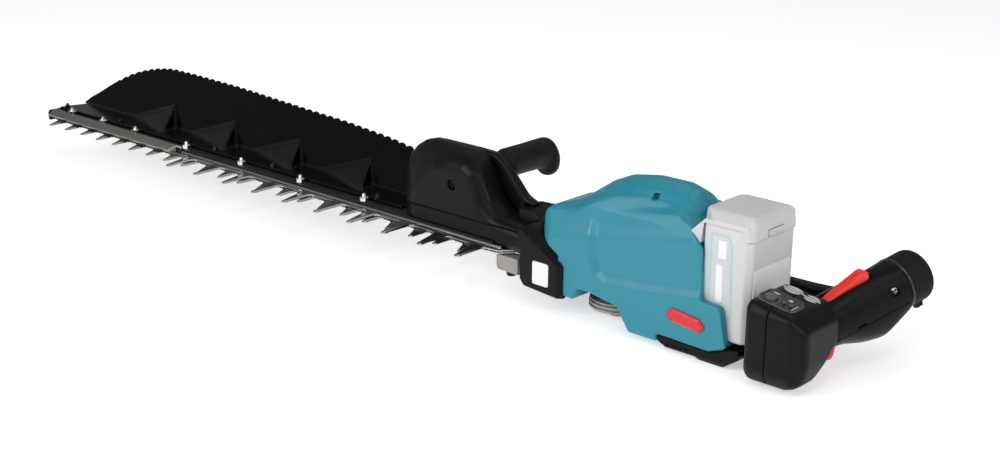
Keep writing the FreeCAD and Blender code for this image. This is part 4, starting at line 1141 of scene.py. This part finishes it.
def case_body(X, Y, Z):
    """The gear case: hollow, lowered under the housing, with a boss below the crank."""
    case = both(area_of(CASE, X, Y), slab(Z, -11.5, 24), 2.0)
    under_housing = (Z - 29 + (X - 800) * 0.58) * 0.86
    case = both(case, np.minimum(under_housing, 850 - X), 1.0)
    boss = both(tube(X, Y, *CRANK, 20), slab(Z, -32, -10), 1.0)
    case = join(case, boss, 3.0)
    case = cut(case, both(area_of(CASE, X, Y) + 3.5, slab(Z, -8, 20.5)))
    case = cut(case, brick(X, Y, Z, (785, 800), (-41.2, -17.2), (-1.7, 4.4)))
    case = cut(case, both(tube(X, Y, *CRANK, 13), slab(Z, -29, -4)))
    return cut(case, both(tube(X, Y, *MOTOR, 6), slab(Z, 10, 30)))


solid("case", (793, 935, -40, 36, -33, 25), 0.9, case_body, "frame", "cast_alloy", ["gear_case"])

ARM_ROUND = 3.0
# Place along X, near and far side, underside and top there.
ARM = np.array([
    (980, 46.2, 57, 0, 18), (1010, 46.2, 57, 0, 17), (1036, 46.4, 57.5, -1, 15.6), (1058, 52, 66, -1, 12.4),
    (1076, 64, 79, -1, 8.5), (1092, 74, 93, 0, 7), (1104, 82, 104, 2, 9), (1118, 87, 111, 5, 13)])


def arm_form(X, Y, Z):
    """A bar of changing section that bends outward to the grip, cut back around it."""
    xs = X.ravel()
    y0, y1, z0, z1 = (along(ARM, k, xs)[:, None, None] for k in (1, 2, 3, 4))
    turn = np.cos(np.arctan(np.gradient(y1[:, 0, 0], xs)))[:, None, None].astype(np.float32)
    dy = (np.abs(Y - (y0 + y1) / 2) - (y1 - y0) / 2) * turn + ARM_ROUND
    dz = np.abs(Z - (z0 + z1) / 2) - (z1 - z0) / 2 + ARM_ROUND
    outside = np.sqrt(np.maximum(dy, 0) ** 2 + np.maximum(dz, 0) ** 2)
    arm = outside + np.minimum(np.maximum(dy, dz), 0) - ARM_ROUND
    arm = both(arm, slab(X, 984.2, 1115), 1.5)
    x, y, z = carried(GRIP_AT.inverted(), X, Y, Z)
    arm = cut(arm, both(tube(x, z, 0, ROUND_Z, 25.8), 80 - y), 0.4)
    return cut(arm, np.sqrt((x / 26) ** 2 + ((z + 4) / 31) ** 2) * 26 - 26, 0.4)


solid("arm", (983, 1116, 45.5, 112, -3, 19), 0.8, arm_form, "frame", "black_plastic", ["far_arm"])
for node, width, body, slot in (("gear_case_nose", 1.0, "frame", "cast_alloy"),
                                ("bridge", 1.6, "frame", "black_plastic"),
                                ("power_button", 0.5, "power_button", "button_grey"),
                                ("panel_lenses", 0.2, "frame", "lens_green")):
    bevelled(node, width, body, slot)


# ---- floor, light, camera
FLOOR_SIZE, FLOOR_GLOW, WORLD_LIGHT = 14, 0.45, 0.3
bpy.ops.mesh.primitive_plane_add(size=FLOOR_SIZE, location=(0, 0, 0))
floor = bpy.context.object
floor.name = "floor"
mat, nt, bsdf = tree("floor")
bsdf.inputs["Base Color"].default_value = (0.9, 0.9, 0.9, 1)
bsdf.inputs["Roughness"].default_value = 0.7
bsdf.inputs["Emission Color"].default_value = (1, 1, 1, 1)
bsdf.inputs["Emission Strength"].default_value = FLOOR_GLOW
floor.data.materials.append(mat)

world = bpy.data.worlds.new("studio")
world.use_nodes = True
world.node_tree.nodes["Background"].inputs["Color"].default_value = (1, 1, 1, 1)
world.node_tree.nodes["Background"].inputs["Strength"].default_value = WORLD_LIGHT
bpy.context.scene.world = world
bpy.context.scene.view_settings.view_transform = "Standard"


def lamp(name, place, target, size, power):
    """A rectangular light at a place, turned to a target; metres and watts."""
    data = bpy.data.lights.new(name, "AREA")
    data.shape = "RECTANGLE"
    data.size, data.size_y = size
    data.energy = power
    ob = bpy.data.objects.new(name, data)
    bpy.context.collection.objects.link(ob)
    ob.location = place
    ob.rotation_euler = (Vector(target) - Vector(place)).to_track_quat("-Z", "Y").to_euler()


lamp("key", (-1.2, -2.4, 1.35), (-0.3, 0, 0.08), (1.7, 1.2), 38)
lamp("fill", (1.5, -1.9, 1.1), (-0.1, 0, 0.08), (0.5, 0.5), 7)
lamp("top", (-0.2, 1.2, 3.0), (-0.3, 0.3, 0.0), (4.5, 3.0), 24)
lamp("over", (0.6, -1.2, 1.9), (-0.2, 0, 0.08), (0.9, 0.7), 7)
lamp("side", (2.0, -0.2, 1.1), (0.0, 0, 0.1), (0.8, 1.2), 13)

EYE, FOCAL_LENGTH, SENSOR = (0.73634, -1.14908, 0.55421), 56.16, 36
AZIMUTH, ELEVATION, ROLL = math.radians(41.98), math.radians(17.83), math.radians(0.64)
back = Vector((math.sin(AZIMUTH) * math.cos(ELEVATION), -math.cos(AZIMUTH) * math.cos(ELEVATION),
               math.sin(ELEVATION)))
side = Vector((math.cos(AZIMUTH), math.sin(AZIMUTH), 0))
up = back.cross(side)
right = side * math.cos(ROLL) + up * math.sin(ROLL)
upward = up * math.cos(ROLL) - side * math.sin(ROLL)
camera = bpy.data.objects.new("camera", bpy.data.cameras.new("camera"))
bpy.context.collection.objects.link(camera)
camera.data.lens = FOCAL_LENGTH
camera.data.sensor_width = SENSOR
camera.matrix_world = Matrix.Translation(EYE) @ Matrix((right, upward, back)).transposed().to_4x4()
bpy.context.scene.camera = camera
